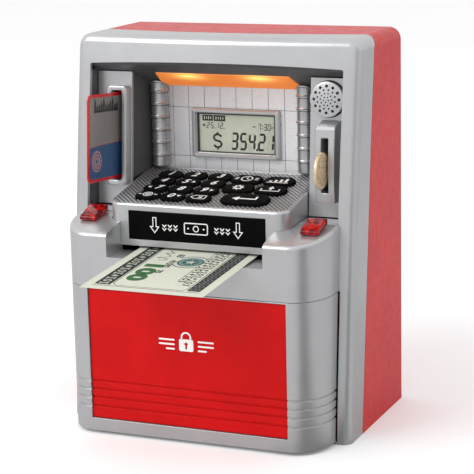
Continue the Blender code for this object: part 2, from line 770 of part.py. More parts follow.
def indicator_lens(side):
    """Clear red wedge on a shoulder."""
    y_front, y_rear = LENS_Y
    x_low, x_high = LEFT_LENS_X if side < 0 else RIGHT_LENS_X
    outline = [
        (y_front, shoulder_z(y_front) + GAP + 0.15),
        (y_rear, shoulder_z(y_rear) + GAP + 0.15),
        (y_rear, shoulder_z(y_rear) + 4.0),
        (y_rear - 3.0, shoulder_z(y_rear) + 4.4),
        (y_front + 1.2, shoulder_z(y_front) + 3.3),
        (y_front, shoulder_z(y_front) + 2.2),
    ]
    name = "lens_left" if side < 0 else "lens_right"
    return slab_x(name, outline, x_low, x_high, "red_clear")


# ------------------------------------------------------------------ console


def console_outline(inset, rear_y):
    """Plan of the console as (x, y), with its two front corners rounded."""
    half = CONSOLE_HALF - inset
    front = CONSOLE_FRONT + inset
    radius = CONSOLE_CORNER - inset
    left = [(-half, rear_y)]
    for step in range(CONSOLE_CORNER_STEPS + 1):
        turn = math.radians(90 * step / CONSOLE_CORNER_STEPS)
        x = -(half - radius) - radius * math.cos(turn)
        left.append((x, front + radius - radius * math.sin(turn)))
    return both_halves(left)


def console_housing():
    """Keypad housing: a hood with a sloping deck, open below and behind."""
    rings = [[(x, y, CONSOLE_LIP_Z) for x, y in console_outline(0.0, CONSOLE_REAR)]]
    for step in range(EDGE_STEPS + 1):
        turn = math.radians(90 * step / EDGE_STEPS)
        inset = DECK_ROUND * (1 - math.cos(turn))
        drop = DECK_ROUND * (1 - math.sin(turn))
        outline = console_outline(inset, CONSOLE_REAR)
        rings.append([(x, y, deck_z(y) - drop) for x, y in outline])
    housing = loft_with_ruled_ends("console_housing", rings, "silver")
    inner = console_outline(CONSOLE_WALL, CONSOLE_REAR + 10)
    hollow = [
        [(x, y, CONSOLE_LIP_Z - 5) for x, y in inner],
        [(x, y, deck_z(y) - DECK_SHEET) for x, y in inner],
    ]
    cut(housing, loft_with_ruled_ends("console_hollow", hollow, "dark"))
    low, high = SIGN_Z
    pocket_low = (-SIGN_HALF - GAP, CONSOLE_FRONT - 2, low - GAP)
    cut(housing, box("sign_pocket", pocket_low, (SIGN_HALF + GAP, CONSOLE_FRONT + 1.0, high + GAP)))
    for name, x, y, wide, deep in key_places():
        cut(housing, key_prism(f"{name}_hole", x, y, wide + 0.5, deep + 0.5, -6.0, 6.0, 0.0, "dark"))
    return housing


def slot_sign():
    """Black sign plate on the console's front."""
    low = (-SIGN_HALF, CONSOLE_FRONT - 0.2, SIGN_Z[0])
    return box("slot_sign", low, (SIGN_HALF, CONSOLE_FRONT + 0.7, SIGN_Z[1]), "black")


def key_places():
    """Every key as (name, centre x, centre y, width, depth)."""
    places = []
    labels = ("1", "2", "3", "4", "5", "6", "7", "8", "9", "target", "0", "clear")
    for index, label in enumerate(labels):
        x = NUMBER_COLUMNS[index % 3]
        y = NUMBER_ROWS[index // 3]
        places.append((f"key_{label}", x, y) + NUMBER_KEY)
    menus = ("clock", "balance", "set", "withdraw")
    for index, label in enumerate(menus):
        x = MENU_COLUMNS[index % 2]
        y = MENU_ROWS[index // 2]
        places.append((f"key_{label}", x, y) + MENU_KEY)
    places.append(("key_enter",) + ENTER_KEY)
    return places


def key_outline(wide, deep):
    """Key plan: a bar whose ends are cut back at the corners."""
    half, tall = wide / 2, deep / 2
    nip = tall * 0.55
    right = [(half - nip, -tall), (half, -tall + nip), (half, tall - nip), (half - nip, tall)]
    return right + [(-x, -y) for x, y in right]


def key_prism(name, x, y, wide, deep, low, high, bevel, colour):
    """A key-shaped block between two lifts off the deck, with its top edge bevelled."""
    levels = [(low, 0.0), (high - bevel, 0.0)]
    if bevel:
        levels.append((high, bevel))
    rings = []
    for lift, inset in levels:
        outline = key_outline(wide - 2 * inset, deep - 2 * inset)
        rings.append([deck_point(x + a, y + b, lift) for a, b in outline])
    return loft(name, rings, colour, origin=deck_point(x, y, 0.0))


def keys():
    for name, x, y, wide, deep in key_places():
        key_prism(name, x, y, wide, deep, -KEY_SUNK, KEY_PROUD, KEY_BEVEL, "black")


def keypad_board():
    """Contact board under the keys."""
    corners = [(-44.0, -34.5), (46.0, -34.5), (46.0, 8.0), (-44.0, 8.0)]
    rings = [[deck_point(x, y, lift) for x, y in corners] for lift in (-6.6, -5.0)]
    return loft("keypad_board", rings, "green")


# ------------------------------------------------------- card, coin, speaker


def card_slot_bezel():
    """Thick surround of the card slot, with a neck through the panel."""
    half, tall = CARD_BEZEL_WIDE / 2, CARD_BEZEL_TALL / 2
    bezel = panel_box(
        "card_slot_bezel",
        (CARD_X - half, CARD_X + half),
        (GAP, CARD_BEZEL_PROUD),
        (CARD_Z - tall, CARD_Z + tall),
        "silver",
    )
    neck_x = (CARD_X - half + 1.5, CARD_X + half - 1.5)
    neck_z = (CARD_Z - tall + 1.5, CARD_Z + tall - 1.5)
    join(bezel, panel_box("card_neck", neck_x, (-5.0, 1.0), neck_z))
    slot_x = (CARD_X - CARD_SLOT_WIDE / 2, CARD_X + CARD_SLOT_WIDE / 2)
    slot_z = (CARD_Z - CARD_SLOT_TALL / 2, CARD_Z + CARD_SLOT_TALL / 2)
    return cut(bezel, panel_box("card_slot", slot_x, (-10, 10), slot_z))


def card_reader():
    """Channel that guides the card behind the panel."""
    reader_x = (CARD_X - 4.5, CARD_X + 4.5)
    reader_z = (CARD_Z - 25.0, CARD_Z + 25.0)
    reader = panel_box("card_reader", reader_x, (-48.0, -5.5), reader_z, "black")
    slot_z = (CARD_Z - CARD_SLOT_TALL / 2, CARD_Z + CARD_SLOT_TALL / 2)
    return cut(reader, panel_box("reader_slot", (CARD_X - 2, CARD_X + 2), (-60, 0), slot_z))


def play_card():
    """Bank card that comes with the toy, standing in its slot."""
    out = CARD_BEZEL_PROUD + CARD_OUT
    return panel_box(
        "play_card",
        (CARD_X - CARD_THICK / 2, CARD_X + CARD_THICK / 2),
        (out - CARD_LONG, out),
        (CARD_Z - CARD_TALL / 2, CARD_Z + CARD_TALL / 2),
        "red",
        origin=panel_point(CARD_X, 0.0, CARD_Z),
    )


def coin_slot_bezel():
    """Coin pod: a bowed front with a chamfered head, and the upright coin slot."""
    foot, head = POD_FRONT[0][0], POD_HEAD[-1][0]
    outline = [panel_point(0.0, out, z)[1:] for z, out in POD_FRONT + POD_HEAD]
    outline += [panel_point(0.0, GAP, z)[1:] for z in (head, foot)]
    pod = slab_x("coin_slot_bezel", outline, POD_X[0], POD_X[1], "silver")
    neck_x = (COIN_X - COIN_SLOT_WIDE / 2 - 1.3, COIN_X + COIN_SLOT_WIDE / 2 + 1.3)
    neck_z = (COIN_SLOT_Z[0] - 1.3, COIN_SLOT_Z[1] + 1.3)
    join(pod, panel_box("coin_neck", neck_x, (-5.0, 2.0), neck_z))
    slot_x = (COIN_X - COIN_SLOT_WIDE / 2, COIN_X + COIN_SLOT_WIDE / 2)
    return cut(pod, panel_box("coin_slot", slot_x, (-10, 20), COIN_SLOT_Z))


def coin_chute():
    """Channel that takes the coin from the slot past its sensor and down to the vault."""
    sides = (COIN_X - 4.0, COIN_X + 4.0)
    chute = panel_box("coin_chute", sides, (-30.0, -5.5), (124.0, 160.0), "black")
    drop = panel_box("chute_drop", sides, (-30.0, -8.0), (88.0, 125.0), "black")
    join(chute, drop)
    slot_x = (COIN_X - COIN_SLOT_WIDE / 2, COIN_X + COIN_SLOT_WIDE / 2)
    inlet = panel_box("chute_inlet", slot_x, (-28.0, 5.0), COIN_SLOT_Z)
    well = panel_box("chute_well", slot_x, (-28.0, -10.0), (80.0, 130.0))
    return cut(chute, inlet, well)


def play_coin():
    """Play coin standing on its rim in the slot."""
    rings = []
    for x in (COIN_X - COIN_THICK / 2, COIN_X + COIN_THICK / 2):
        ring = [panel_point(x, COIN_OUT + a, COIN_Z + b) for a, b in circle(COIN_RADIUS, 40)]
        rings.append(ring)
    return loft("play_coin", rings, "brass", origin=panel_point(COIN_X, COIN_OUT, COIN_Z))


def leaning_disc(name, profile, x, z, colour, steps=40):
    """A profile of (out, radius) turned about the panels' normal."""
    rings = []
    for out, radius in profile:
        ring = []
        for a, b in circle(radius, steps):
            ring.append(panel_point(x + a, out, z + b * math.cos(LEAN_ANGLE)))
        rings.append(ring)
    return loft(name, rings, colour)


def speaker_grille():
    profile = [(-1.8, 8.6), (2.4, SPEAKER_RADIUS), (3.4, SPEAKER_RADIUS - 0.4), (4.0, 6.5), (4.3, 2.5)]
    return leaning_disc("speaker_grille", profile, SPEAKER_X, SPEAKER_Z, "silver")


def speaker_driver():
    profile = [(-14.0, 4.5), (-8.0, 5.0), (-5.5, 7.2), (-2.6, 7.2)]
    return leaning_disc("speaker_driver", profile, SPEAKER_X, SPEAKER_Z, "steel", 20)


# ---------------------------------------------------------------- note feed


def roller_centres():
    """Axes of the drive and pinch rollers and of the motor as (y, z)."""
    path = note_z(ROLLER_Y)
    play = NOTE_THICK / 2 + 0.2
    drive = (ROLLER_Y, path - play - DRIVE_RADIUS)
    pinch = (ROLLER_Y, path + play + PINCH_RADIUS)
    beside = math.sqrt(GEAR_SPREAD**2 - MOTOR_BELOW**2)
    motor = (ROLLER_Y + beside, drive[1] - MOTOR_BELOW)
    return drive, pinch, motor


def gear_outline(teeth, turn):
    """A straight-flanked spur gear as (a, b) about its axis."""
    pitch = teeth * GEAR_MODULE / 2
    root, tip = pitch - 1.1 * GEAR_MODULE, pitch + 0.75 * GEAR_MODULE
    step = 2 * math.pi / teeth
    flanks = ((-0.27, root), (-0.12, tip), (0.12, tip), (0.27, root))
    outline = []
    for tooth in range(teeth):
        for share, radius in flanks:
            angle = turn + (tooth + share) * step
            outline.append((radius * math.cos(angle), radius * math.sin(angle)))
    return outline


def gear(name, teeth, turn, centre, colour, origin):
    outline = [(centre[0] + a, centre[1] + b) for a, b in gear_outline(teeth, turn)]
    return slab_x(name, outline, GEAR_X[0], GEAR_X[1], colour, origin)


def roller_profile(tyre_radius, right_end):
    """A shaft with two tyres as (x, radius), from its left end to its right end."""
    profile = [(-37.0, SHAFT_RADIUS)]
    near, far = TYRE_X
    for low, high in ((-far, -near), (near, far)):
        profile += [(low, SHAFT_RADIUS), (low, tyre_radius), (high, tyre_radius), (high, SHAFT_RADIUS)]
    return profile + [(right_end, SHAFT_RADIUS)]


def note_rollers():
    """Drive roller with its gear, pinch roller, and the motor's pinion in mesh with the gear."""
    drive, pinch, motor = roller_centres()
    origin = (0.0,) + drive
    shaft = roller_profile(DRIVE_RADIUS, 40.0)
    roller = turned_x("drive_roller", shaft, drive[0], drive[1], "rubber", 16, origin)
    towards = math.atan2(motor[1] - drive[1], motor[0] - drive[0])
    join(roller, gear("drive_gear", GEAR_TEETH, towards, drive, "white", origin))
    shaft = roller_profile(PINCH_RADIUS, 37.0)
    turned_x("pinch_roller", shaft, pinch[0], pinch[1], "rubber", 16, (0.0,) + pinch)
    origin = (0.0,) + motor
    half_tooth = math.pi / PINION_TEETH
    pinion = gear("motor_pinion", PINION_TEETH, towards + math.pi + half_tooth, motor, "brass", origin)
    stub = turned_x("pinion_shaft", [(30.0, 1.0), (40.0, 1.0)], motor[0], motor[1], "steel", 12)
    join(pinion, stub)


def feed_motor():
    motor = roller_centres()[2]
    nose = 3.0
    profile = [(2.0, nose), (4.0, nose), (4.0, MOTOR_RADIUS)]
    profile += [(30.0, MOTOR_RADIUS), (30.0, nose), (33.6, nose)]
    body = turned_x("feed_motor", profile, motor[0], motor[1], "steel", 16)
    bore = [(28.0, SHAFT_RADIUS), (40.0, SHAFT_RADIUS)]
    return cut(body, turned_x("motor_bore", bore, motor[0], motor[1], "steel", 12))


def feed_frame():
    """Two side plates joined by a cross bar, with bearing holes for both rollers and the motor."""
    drive, pinch, motor = roller_centres()
    head = pinch[1] + 5.0
    outline = [(-34.0, 84.0), (-4.0, 83.0), (-4.0, 96.0), (-20.0, head), (-32.0, head)]
    frame = slab_x("feed_frame", outline, FEED_PLATE[0], FEED_PLATE[1], "white")
    join(frame, slab_x("left_plate", outline, -FEED_PLATE[1], -FEED_PLATE[0]))
    low = (-FEED_PLATE[1] + 0.5, -7.0, 83.5)
    join(frame, box("cross_bar", low, (FEED_PLATE[1] - 0.5, -5.2, 94.0)))
    for y, z in (drive, pinch):
        bore = [(-40.0, SHAFT_RADIUS + GAP), (40.0, SHAFT_RADIUS + GAP)]
        cut(frame, turned_x("bearing", bore, y, z, "dark", 16))
    cut(frame, turned_x("motor_hole", [(20.0, 3.4), (40.0, 3.4)], motor[0], motor[1], "dark", 16))
    relief = [(0.0, MOTOR_RADIUS + 0.6), (FEED_PLATE[0] - 1.0, MOTOR_RADIUS + 0.6)]
    return cut(frame, turned_x("motor_relief", relief, motor[0], motor[1], "dark", 16))


def play_banknote():
    """Play banknote on its way into the slot, lying on the sloping path."""
    mouth = CONSOLE_FRONT
    angle = math.atan(NOTE_SLOPE)
    outline = []
    for along, lift in (
        (-NOTE_OUT, -NOTE_THICK / 2),
        (NOTE_LONG - NOTE_OUT, -NOTE_THICK / 2),
        (NOTE_LONG - NOTE_OUT, NOTE_THICK / 2),
        (-NOTE_OUT, NOTE_THICK / 2),
    ):
        y = mouth + along * math.cos(angle) - lift * math.sin(angle)
        z = NOTE_MOUTH_Z + along * math.sin(angle) + lift * math.cos(angle)
        outline.append((y, z))
    origin = (0.0, mouth, NOTE_MOUTH_Z)
    return slab_x("play_banknote", outline, -NOTE_HALF, NOTE_HALF, "paper", origin)


# --------------------------------------------------------------------- door


def door_frame():
    """Door shell: a tray open at the rear, with a window for the red panel."""
    origin = (HINGE_X, HINGE_Y, DOOR_BOTTOM)
    levels = [(DOOR_BOTTOM, 0.0)]
    for z in GROOVES:
        levels += [(z - GROOVE_HALF, 0.0), (z - 0.3, GROOVE_DEPTH)]
        levels += [(z + 0.3, GROOVE_DEPTH), (z + GROOVE_HALF, 0.0)]
    levels.append((DOOR_TOP, 0.0))
    rings = []
    for z, inset in levels:
        rings.append([(x, y, z) for x, y in body_outline(inset, body_rear(z))])
    door = loft("door_frame", rings, "silver", origin=origin)
    inner = body_outline(DOOR_WALL, -5.0)
    hollow = [[(x, y, z) for x, y in inner] for z in (DOOR_BOTTOM + 2.2, DOOR_TOP - 2.2)]
    cut(door, loft("door_hollow", hollow, "dark"))
    low, high = PANEL_Z
    cut(door, box("panel_window", (-PANEL_HALF, -60.0, low), (PANEL_HALF, -53.0, high)))
    pin = HINGE_PIN + GAP
    for z in (DOOR_BOTTOM, DOOR_TOP - 2.2):
        hole = turned_z("hinge_hole", [(z - 2, pin), (z + 4, pin)], HINGE_X, HINGE_Y, "dark", 12)
        cut(door, hole)
    half = BOLT_HALF + 0.5
    keeper = (BOLT_X - half, BOLT_Y - half, DOOR_TOP - 4)
    return cut(door, box("bolt_keeper", keeper, (BOLT_X + half, BOLT_Y + half, DOOR_TOP + 2)))


def door_panel():
    """Red front panel with four level grooves, set a little behind the door's face."""
    low, high = PANEL_Z[0] + GAP, PANEL_Z[1] - GAP
    front, back = PANEL_FRONT, PANEL_FRONT + 2.4
    outline = [(back, low), (front, low)]
    for z in GROOVES:
        outline += [(front, z - GROOVE_HALF), (front + GROOVE_DEPTH, z - 0.3)]
        outline += [(front + GROOVE_DEPTH, z + 0.3), (front, z + GROOVE_HALF)]
    outline += [(front, high), (back, high)]
    origin = (HINGE_X, HINGE_Y, DOOR_BOTTOM)
    half = PANEL_HALF - GAP
    return slab_x("door_panel", outline, -half, half, "red", origin)


# --------------------------------------------------------------------- lock


def lock_bolt():
    """Square bolt with a round stem and a spring collar."""
    tip = SEAM_Z + 0.2
    origin = (BOLT_X, BOLT_Y, tip)
    low = (BOLT_X - BOLT_HALF, BOLT_Y - BOLT_HALF, tip)
    bolt = box("lock_bolt", low, (BOLT_X + BOLT_HALF, BOLT_Y + BOLT_HALF, tip + 7.0), "steel", origin)
    stem = [(tip + 6.5, 3.6), (tip + 8.0, 3.6), (tip + 8.0, 1.6), (tip + 24.0, 1.6)]
    return join(bolt, turned_z("bolt_stem", stem, BOLT_X, BOLT_Y, "steel", 12))


def lock_solenoid():
    """Coil body that draws the bolt up."""
    low = (BOLT_X - COIL_HALF_X, BOLT_Y - COIL_HALF_Y, COIL_FOOT)
    high = (BOLT_X + COIL_HALF_X, BOLT_Y + COIL_HALF_Y, COIL_FOOT + COIL_TALL)
    body = box("lock_solenoid", low, high, "brass")
    reach = [(COIL_FOOT - 5.0, 2.0), (COIL_FOOT + COIL_TALL - 1.6, 2.0)]
    bore = turned_z("solenoid_bore", reach, BOLT_X, BOLT_Y, "steel", 12)
    return cut(body, bore)


def lock_spring():
    """Coil spring between the bolt's collar and the solenoid."""
    low, high = SEAM_Z + 8.5, COIL_FOOT - GAP
    coil_radius, wire = 2.9, 0.32
    turns, per_turn, around = 2.5, 14, 6
    rings = []
    count = int(turns * per_turn)
    rise = high - low - 2 * wire
    for step in range(count + 1):
        angle = 2 * math.pi * step / per_turn
        centre_z = low + wire + rise * step / count
        ring = []
        for a, b in circle(wire, around):
            radius = coil_radius + a
            x = BOLT_X + radius * math.cos(angle)
            y = BOLT_Y + radius * math.sin(angle)
            ring.append((x, y, centre_z + b))
        rings.append(ring)
    return loft("lock_spring", rings, "steel")


# ----------------------------------------------------- battery box and shelf


def divider_shelf():
    """Shelf between the money vault and the works, with drops for notes and coins."""
    shelf = box("divider_shelf", (-76.6, -22.4, 80.6), (76.6, 54.8, 82.6), "dark")
    note_drop = box("note_drop", (-38.0, 8.0, 78.0), (38.0, 50.0, 85.0))
    coin_drop = box("coin_drop", (54.0, -2.0, 78.0), (68.0, 26.0, 85.0))
    return cut(shelf, note_drop, coin_drop)


def battery_tray():
    """Open box for three cells behind the battery door."""
    low, high = CELL_BOX
    tray = box("battery_tray", low, high, "black")
    inner_low = (low[0] + 1.6, low[1] + 1.6, low[2] + 1.6)
    inner_high = (high[0] - 1.6, high[1] + 5.0, high[2] - 1.6)
    return cut(tray, box("tray_hollow", inner_low, inner_high))


def battery_door():
    """Rear battery door, hung on its lower edge, with its screw boss."""
    low, high = CELL_DOOR_Z
    origin = (0.0, CASE_REAR - 0.2, low)
    rear = CASE_REAR - 0.2
    corners = (-CELL_DOOR_HALF, rear - 2.0, low), (CELL_DOOR_HALF, rear, high)
    door = box("battery_door", *corners, "red", origin)
    grip = box("grip_rib", (-8.0, rear - 0.5, high - 6.0), (8.0, rear + 0.19, high - 4.6))
    return join(door, grip)


# ----------------------------------------------------------------- assembly


def build():
    for obj in list(bpy.data.objects):
        bpy.data.objects.remove(obj, do_unlink=True)
    rear_case()
    front_frame()
    case_screws()
    recess_hood()
    card_panel()
    coin_panel()
    tile_wall()
    lamp_lens()
    lamp_board()
    lcd_bezel()
    lcd_module()
    main_board()
    upper_body()
    indicator_lens(-1)
    indicator_lens(1)
    console_housing()
    slot_sign()
    keys()
    keypad_board()
    card_slot_bezel()
    card_reader()
    play_card()
    coin_slot_bezel()
    coin_chute()
    play_coin()
    speaker_grille()
    speaker_driver()
    note_rollers()
    feed_motor()
    feed_frame()
    play_banknote()
    door_frame()
    door_panel()
    lock_bolt()
    lock_solenoid()
    lock_spring()
    divider_shelf()
    battery_tray()
    battery_door()


build()
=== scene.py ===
"""Looks of the toy cash-machine savings bank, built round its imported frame.

Sizes are in millimetres, in the frame's axes: X to the right as seen from the
front, Y to the rear and Z up. Places are taken from the frame's nodes and joints.
"""

import json
import math

import bmesh
import bpy
from mathutils import Matrix, Vector


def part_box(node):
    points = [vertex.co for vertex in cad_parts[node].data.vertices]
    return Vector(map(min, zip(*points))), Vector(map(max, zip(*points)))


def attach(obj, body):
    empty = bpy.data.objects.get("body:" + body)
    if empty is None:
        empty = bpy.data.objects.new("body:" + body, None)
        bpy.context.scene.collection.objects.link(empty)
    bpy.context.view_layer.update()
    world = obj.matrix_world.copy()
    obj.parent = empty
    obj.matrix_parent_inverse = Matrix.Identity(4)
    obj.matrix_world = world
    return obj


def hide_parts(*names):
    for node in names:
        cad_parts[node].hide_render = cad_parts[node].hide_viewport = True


MM = 0.001

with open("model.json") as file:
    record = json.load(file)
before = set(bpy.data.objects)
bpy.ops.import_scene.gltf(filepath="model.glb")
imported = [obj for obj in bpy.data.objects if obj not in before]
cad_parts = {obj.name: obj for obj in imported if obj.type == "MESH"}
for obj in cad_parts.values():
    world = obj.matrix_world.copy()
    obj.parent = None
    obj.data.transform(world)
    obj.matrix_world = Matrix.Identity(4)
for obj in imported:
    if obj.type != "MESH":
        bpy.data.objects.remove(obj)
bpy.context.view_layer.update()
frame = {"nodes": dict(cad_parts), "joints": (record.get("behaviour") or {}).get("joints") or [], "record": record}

# Sizes that the looks add to the frame's own.
KEY_HEIGHT = 5.2
KEY_PROUD = 2.0
KEY_CLEARANCE = 0.28  # bare deck round a key
SCALLOP, SCALLOP_PITCH, SCALLOP_STEPS = 0.42, 1.25, 5  # the waves round a key's edge
DECK_MARGIN = 1.7
RIB_PITCH, RIB_WIDE, RIB_HIGH, RIB_SLANT = 1.9, 0.95, 0.40, -45.0
WALL_THICK, WALL_SIDE_GAP, WINDOW_GAP = 2.0, 1.2, 0.4
TILE_PITCH, TILE_GAP, TILE_DEEP = 9.25, 0.24, 0.22
DARK_REFLECTION_AZIMUTH, DARK_REFLECTION_HALF = 54.0, 13.0  # where the painted dark reflection is seen, in degrees
LAMP_SPREAD = 20.0  # the two lamps' distance from the middle
LAMP_BACK = 2.6  # how far behind the diffuser's front edge they glow
INK = 0.05  # height of a printed mark
BANKNOTE_INK = 0.02
OWN_WELD, SAME_PLACE = 1e-6, 2e-6  # metres within which points are one: in new and in node meshes
FLAT_ANGLE = math.radians(0.4)  # faces that meet at less are one face
SMOOTH_ANGLE = math.radians(32.0)
EDGE_ANGLE = math.radians(40.0)  # edges sharper than this are rounded


# ------------------------------------------------------------ frame helpers


def body_of_node(node):
    for body, members in frame["record"]["behaviour"]["bodies"].items():
        if node in members:
            return body
    raise ValueError(node)


def slot_of_node(node):
    for part in frame["record"]["subparts"]:
        if part["node"] == node:
            return part["material_slot"]
    raise ValueError(node)


def box_of(node):
    """Lowest and highest corner of a node, in millimetres."""
    low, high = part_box(node)
    return low / MM, high / MM


def middle_of(node):
    low, high = box_of(node)
    return (low + high) / 2


def joint_axis(name):
    for joint in frame["joints"]:
        if joint["name"] == name:
            return Vector(joint["axis"])
    raise ValueError(name)


class Plane:
    """A flat face's own axes: u across it, v up it and n out of it."""

    def __init__(self, origin, u, v):
        self.origin = Vector(origin)
        self.u = Vector(u).normalized()
        self.v = Vector(v).normalized()
        self.n = self.u.cross(self.v)

    def at(self, a, b, lift=0.0):
        return self.origin + self.u * a + self.v * b + self.n * lift

    def moved(self, a=0.0, b=0.0, lift=0.0):
        return Plane(self.at(a, b, lift), self.u, self.v)


PRESS = joint_axis("key_1_press")
DECK_UP = Vector((0.0, -PRESS.z, PRESS.y))
OUT = joint_axis("card_slide")
PANEL_UP = Vector((0.0, OUT.z, -OUT.y))
NOTE_IN = joint_axis("banknote_feed")


def front_plane(x, y, z):
    """An upright plane facing the front."""
    return Plane((x, y, z), (1, 0, 0), (0, 0, 1))


def deck_plane():
    """The keypad deck, with its origin in the middle of its rear edge."""
    high = box_of("console_housing")[1]
    return Plane((0.0, high.y, high.z), (1, 0, 0), DECK_UP)


# ------------------------------------------------------------ node materials


class Graph:
    """A new material's node tree, with short calls that add and link nodes."""

    def __init__(self, name, **inputs):
        self.material = bpy.data.materials.new(name)
        self.material.use_nodes = True
        self.tree = self.material.node_tree
        self.shader = self.tree.nodes["Principled BSDF"]
        self.place = self.tree.nodes.new("ShaderNodeTexCoord").outputs["Object"]
        self.set(**inputs)

    def feed(self, socket, value):
        if isinstance(value, bpy.types.NodeSocket):
            self.tree.links.new(value, socket)
        elif socket.type == "RGBA" and len(value) == 3:
            socket.default_value = (*value, 1.0)
        else:
            socket.default_value = value

    def set(self, **inputs):
        """Feeds the Principled shader, with _ for each space in an input's name."""
        for key, value in inputs.items():
            self.feed(self.shader.inputs[key.replace("_", " ")], value)
        return self.material

    def math(self, operation, *values):
        node = self.tree.nodes.new("ShaderNodeMath")
        node.operation = operation
        for socket, value in zip(node.inputs, values):
            self.feed(socket, value)
        return node.outputs[0]

    def axes(self):
        node = self.tree.nodes.new("ShaderNodeSeparateXYZ")
        self.feed(node.inputs[0], self.place)
        return node.outputs

    def stretched(self, x=1.0, y=1.0, z=1.0):
        node = self.tree.nodes.new("ShaderNodeMapping")
        self.feed(node.inputs["Vector"], self.place)
        node.inputs["Scale"].default_value = (x, y, z)
        return node.outputs[0]

    def noise(self, size, detail=2.0, place=None):
        """Noise of about the given size in millimetres, near 0.5 on average."""
        node = self.tree.nodes.new("ShaderNodeTexNoise")
        self.feed(node.inputs["Vector"], place or self.place)
        node.inputs["Scale"].default_value = 1 / (size * MM)
        node.inputs["Detail"].default_value = detail
        return node.outputs["Fac"]

    def cells(self, size, output="Distance", feature="F1"):
        node = self.tree.nodes.new("ShaderNodeTexVoronoi")
        node.feature = feature
        self.feed(node.inputs["Vector"], self.place)
        node.inputs["Scale"].default_value = 1 / (size * MM)
        return node.outputs[output]

    def span(self, value, low, high, to_low=0.0, to_high=1.0):
        """Maps low..high onto another range, held at its ends."""
        node = self.tree.nodes.new("ShaderNodeMapRange")
        for socket, fed in zip(node.inputs, (value, low, high, to_low, to_high)):
            self.feed(socket, fed)
        return node.outputs[0]

    def painted_dark_reflection(self):
        """1 where a painted dark reflection at the right is seen from the object, 0 elsewhere. Nothing stands
        there.
        """
        x, y, _ = self.axes()
        azimuth = self.math("ARCTAN2", x, self.math("MULTIPLY", y, -1.0))
        away = self.math("ABSOLUTE", self.math("SUBTRACT", azimuth, math.radians(DARK_REFLECTION_AZIMUTH)))
        edges = [math.radians(DARK_REFLECTION_HALF + shift) for shift in (-8, 10)]
        return self.span(away, *edges, 1.0, 0.0)

    def rays(self):
        return self.tree.nodes.new("ShaderNodeLightPath").outputs

    def gray(self, value):
        node = self.tree.nodes.new("ShaderNodeCombineColor")
        for socket in list(node.inputs)[:3]:
            self.feed(socket, value)
        return node.outputs[0]

    def mix(self, share, a, b):
        node = self.tree.nodes.new("ShaderNodeMix")
        node.data_type = "RGBA"
        self.feed(node.inputs[0], share)
        self.feed(node.inputs[6], a)
        self.feed(node.inputs[7], b)
        return node.outputs[2]

    def bump(self, height, distance):
        """Surface relief of the given depth in millimetres."""
        node = self.tree.nodes.new("ShaderNodeBump")
        node.inputs["Distance"].default_value = distance * MM
        node.inputs["Strength"].default_value = 1.0
        self.feed(node.inputs["Height"], height)
        return node.outputs[0]


def shade(colour, share):
    return tuple(channel * share for channel in colour)


def moulded(name, colour, roughness, grain=0.35, depth=0.012, **inputs):
    """Moulded plastic: faint mottling, uneven gloss and a fine grain."""
    graph = Graph(name, **inputs)
    mottle = graph.span(graph.noise(22.0, 3.0), 0.35, 0.65)
    graph.set(Base_Color=graph.mix(mottle, shade(colour, 0.94), shade(colour, 1.05)))
    gloss = graph.span(graph.noise(5.0), 0.3, 0.7, roughness - 0.05, roughness + 0.05)
    graph.set(Roughness=gloss)
    return graph.set(Normal=graph.bump(graph.noise(grain, 3.0), depth))


def silver_paint():
    """Silver paint on plastic: very fine metal flakes in a satin lacquer."""
    graph = Graph("silver_paint", Metallic=0.72, Coat_Weight=0.12, Coat_Roughness=0.2)
    flakes = graph.span(graph.noise(0.45, 2.0), 0.35, 0.65, 0.0, 0.12)
    mottle = graph.span(graph.noise(30.0, 3.0), 0.35, 0.65)
    base = graph.mix(mottle, (0.54, 0.545, 0.555), (0.58, 0.585, 0.595))
    graph.set(Base_Color=graph.mix(flakes, base, (0.80, 0.80, 0.82)))
    graph.set(Roughness=graph.span(graph.noise(6.0), 0.3, 0.7, 0.28, 0.34))
    return graph.set(Normal=graph.bump(graph.noise(1.6, 2.0), 0.006))


def deck_painted_shade():
    """The hollows between the deck's ribs, darkened with painted shade."""
    graph = Graph("deck_painted_shade", Metallic=0.4)
    patchy = graph.span(graph.noise(0.7, 3.0), 0.35, 0.65)
    # painted shade: dark grey ground between the bright ribs
    graph.set(Base_Color=graph.mix(patchy, (0.14, 0.14, 0.145), (0.21, 0.21, 0.22)))
    graph.set(Roughness=graph.span(graph.noise(4.0), 0.3, 0.7, 0.42, 0.55))
    return graph.set(Normal=graph.bump(graph.noise(0.5), 0.02))


def tile_enamel():
    """Pale wall tiles, each a shade apart, with painted light brightening them towards the right and painted shade
    darkening them towards the left.
    """
    graph = Graph("tile_enamel", Metallic=0.25, Coat_Weight=0.3, Coat_Roughness=0.1)
    x = graph.axes()[0]
    column = graph.math("FLOOR", graph.math("DIVIDE", x, TILE_PITCH * MM))
    tone = graph.math("FRACT", graph.math("MULTIPLY", graph.math("SINE", column), 43.7))
    base = graph.mix(tone, (0.62, 0.625, 0.65), (0.70, 0.705, 0.72))
    low, high = box_of("tile_wall")
    # painted light and shade: the tiles are painted near white at the right and darkened towards the left
    across = graph.span(x, low.x * MM, high.x * MM, 0.5, 0.0)
    lit = graph.mix(across, (0.95, 0.955, 0.965), base)
    graph.set(Base_Color=graph.mix(across, lit, (0.36, 0.36, 0.38)))
    graph.set(Roughness=graph.span(graph.noise(8.0), 0.3, 0.7, 0.24, 0.30))
    return graph.set(Normal=graph.bump(graph.noise(9.0), 0.002))


def brushed(name, colour, roughness):
    """Metal with fine upright lines."""
    graph = Graph(name, Metallic=0.95)
    lines = graph.noise(0.3, 3.0, graph.stretched(z=0.04))
    graph.set(Base_Color=graph.mix(lines, shade(colour, 0.8), shade(colour, 1.15)))
    graph.set(Roughness=graph.span(lines, 0.3, 0.7, roughness - 0.06, roughness + 0.08))
    return graph.set(Normal=graph.bump(lines, 0.006))


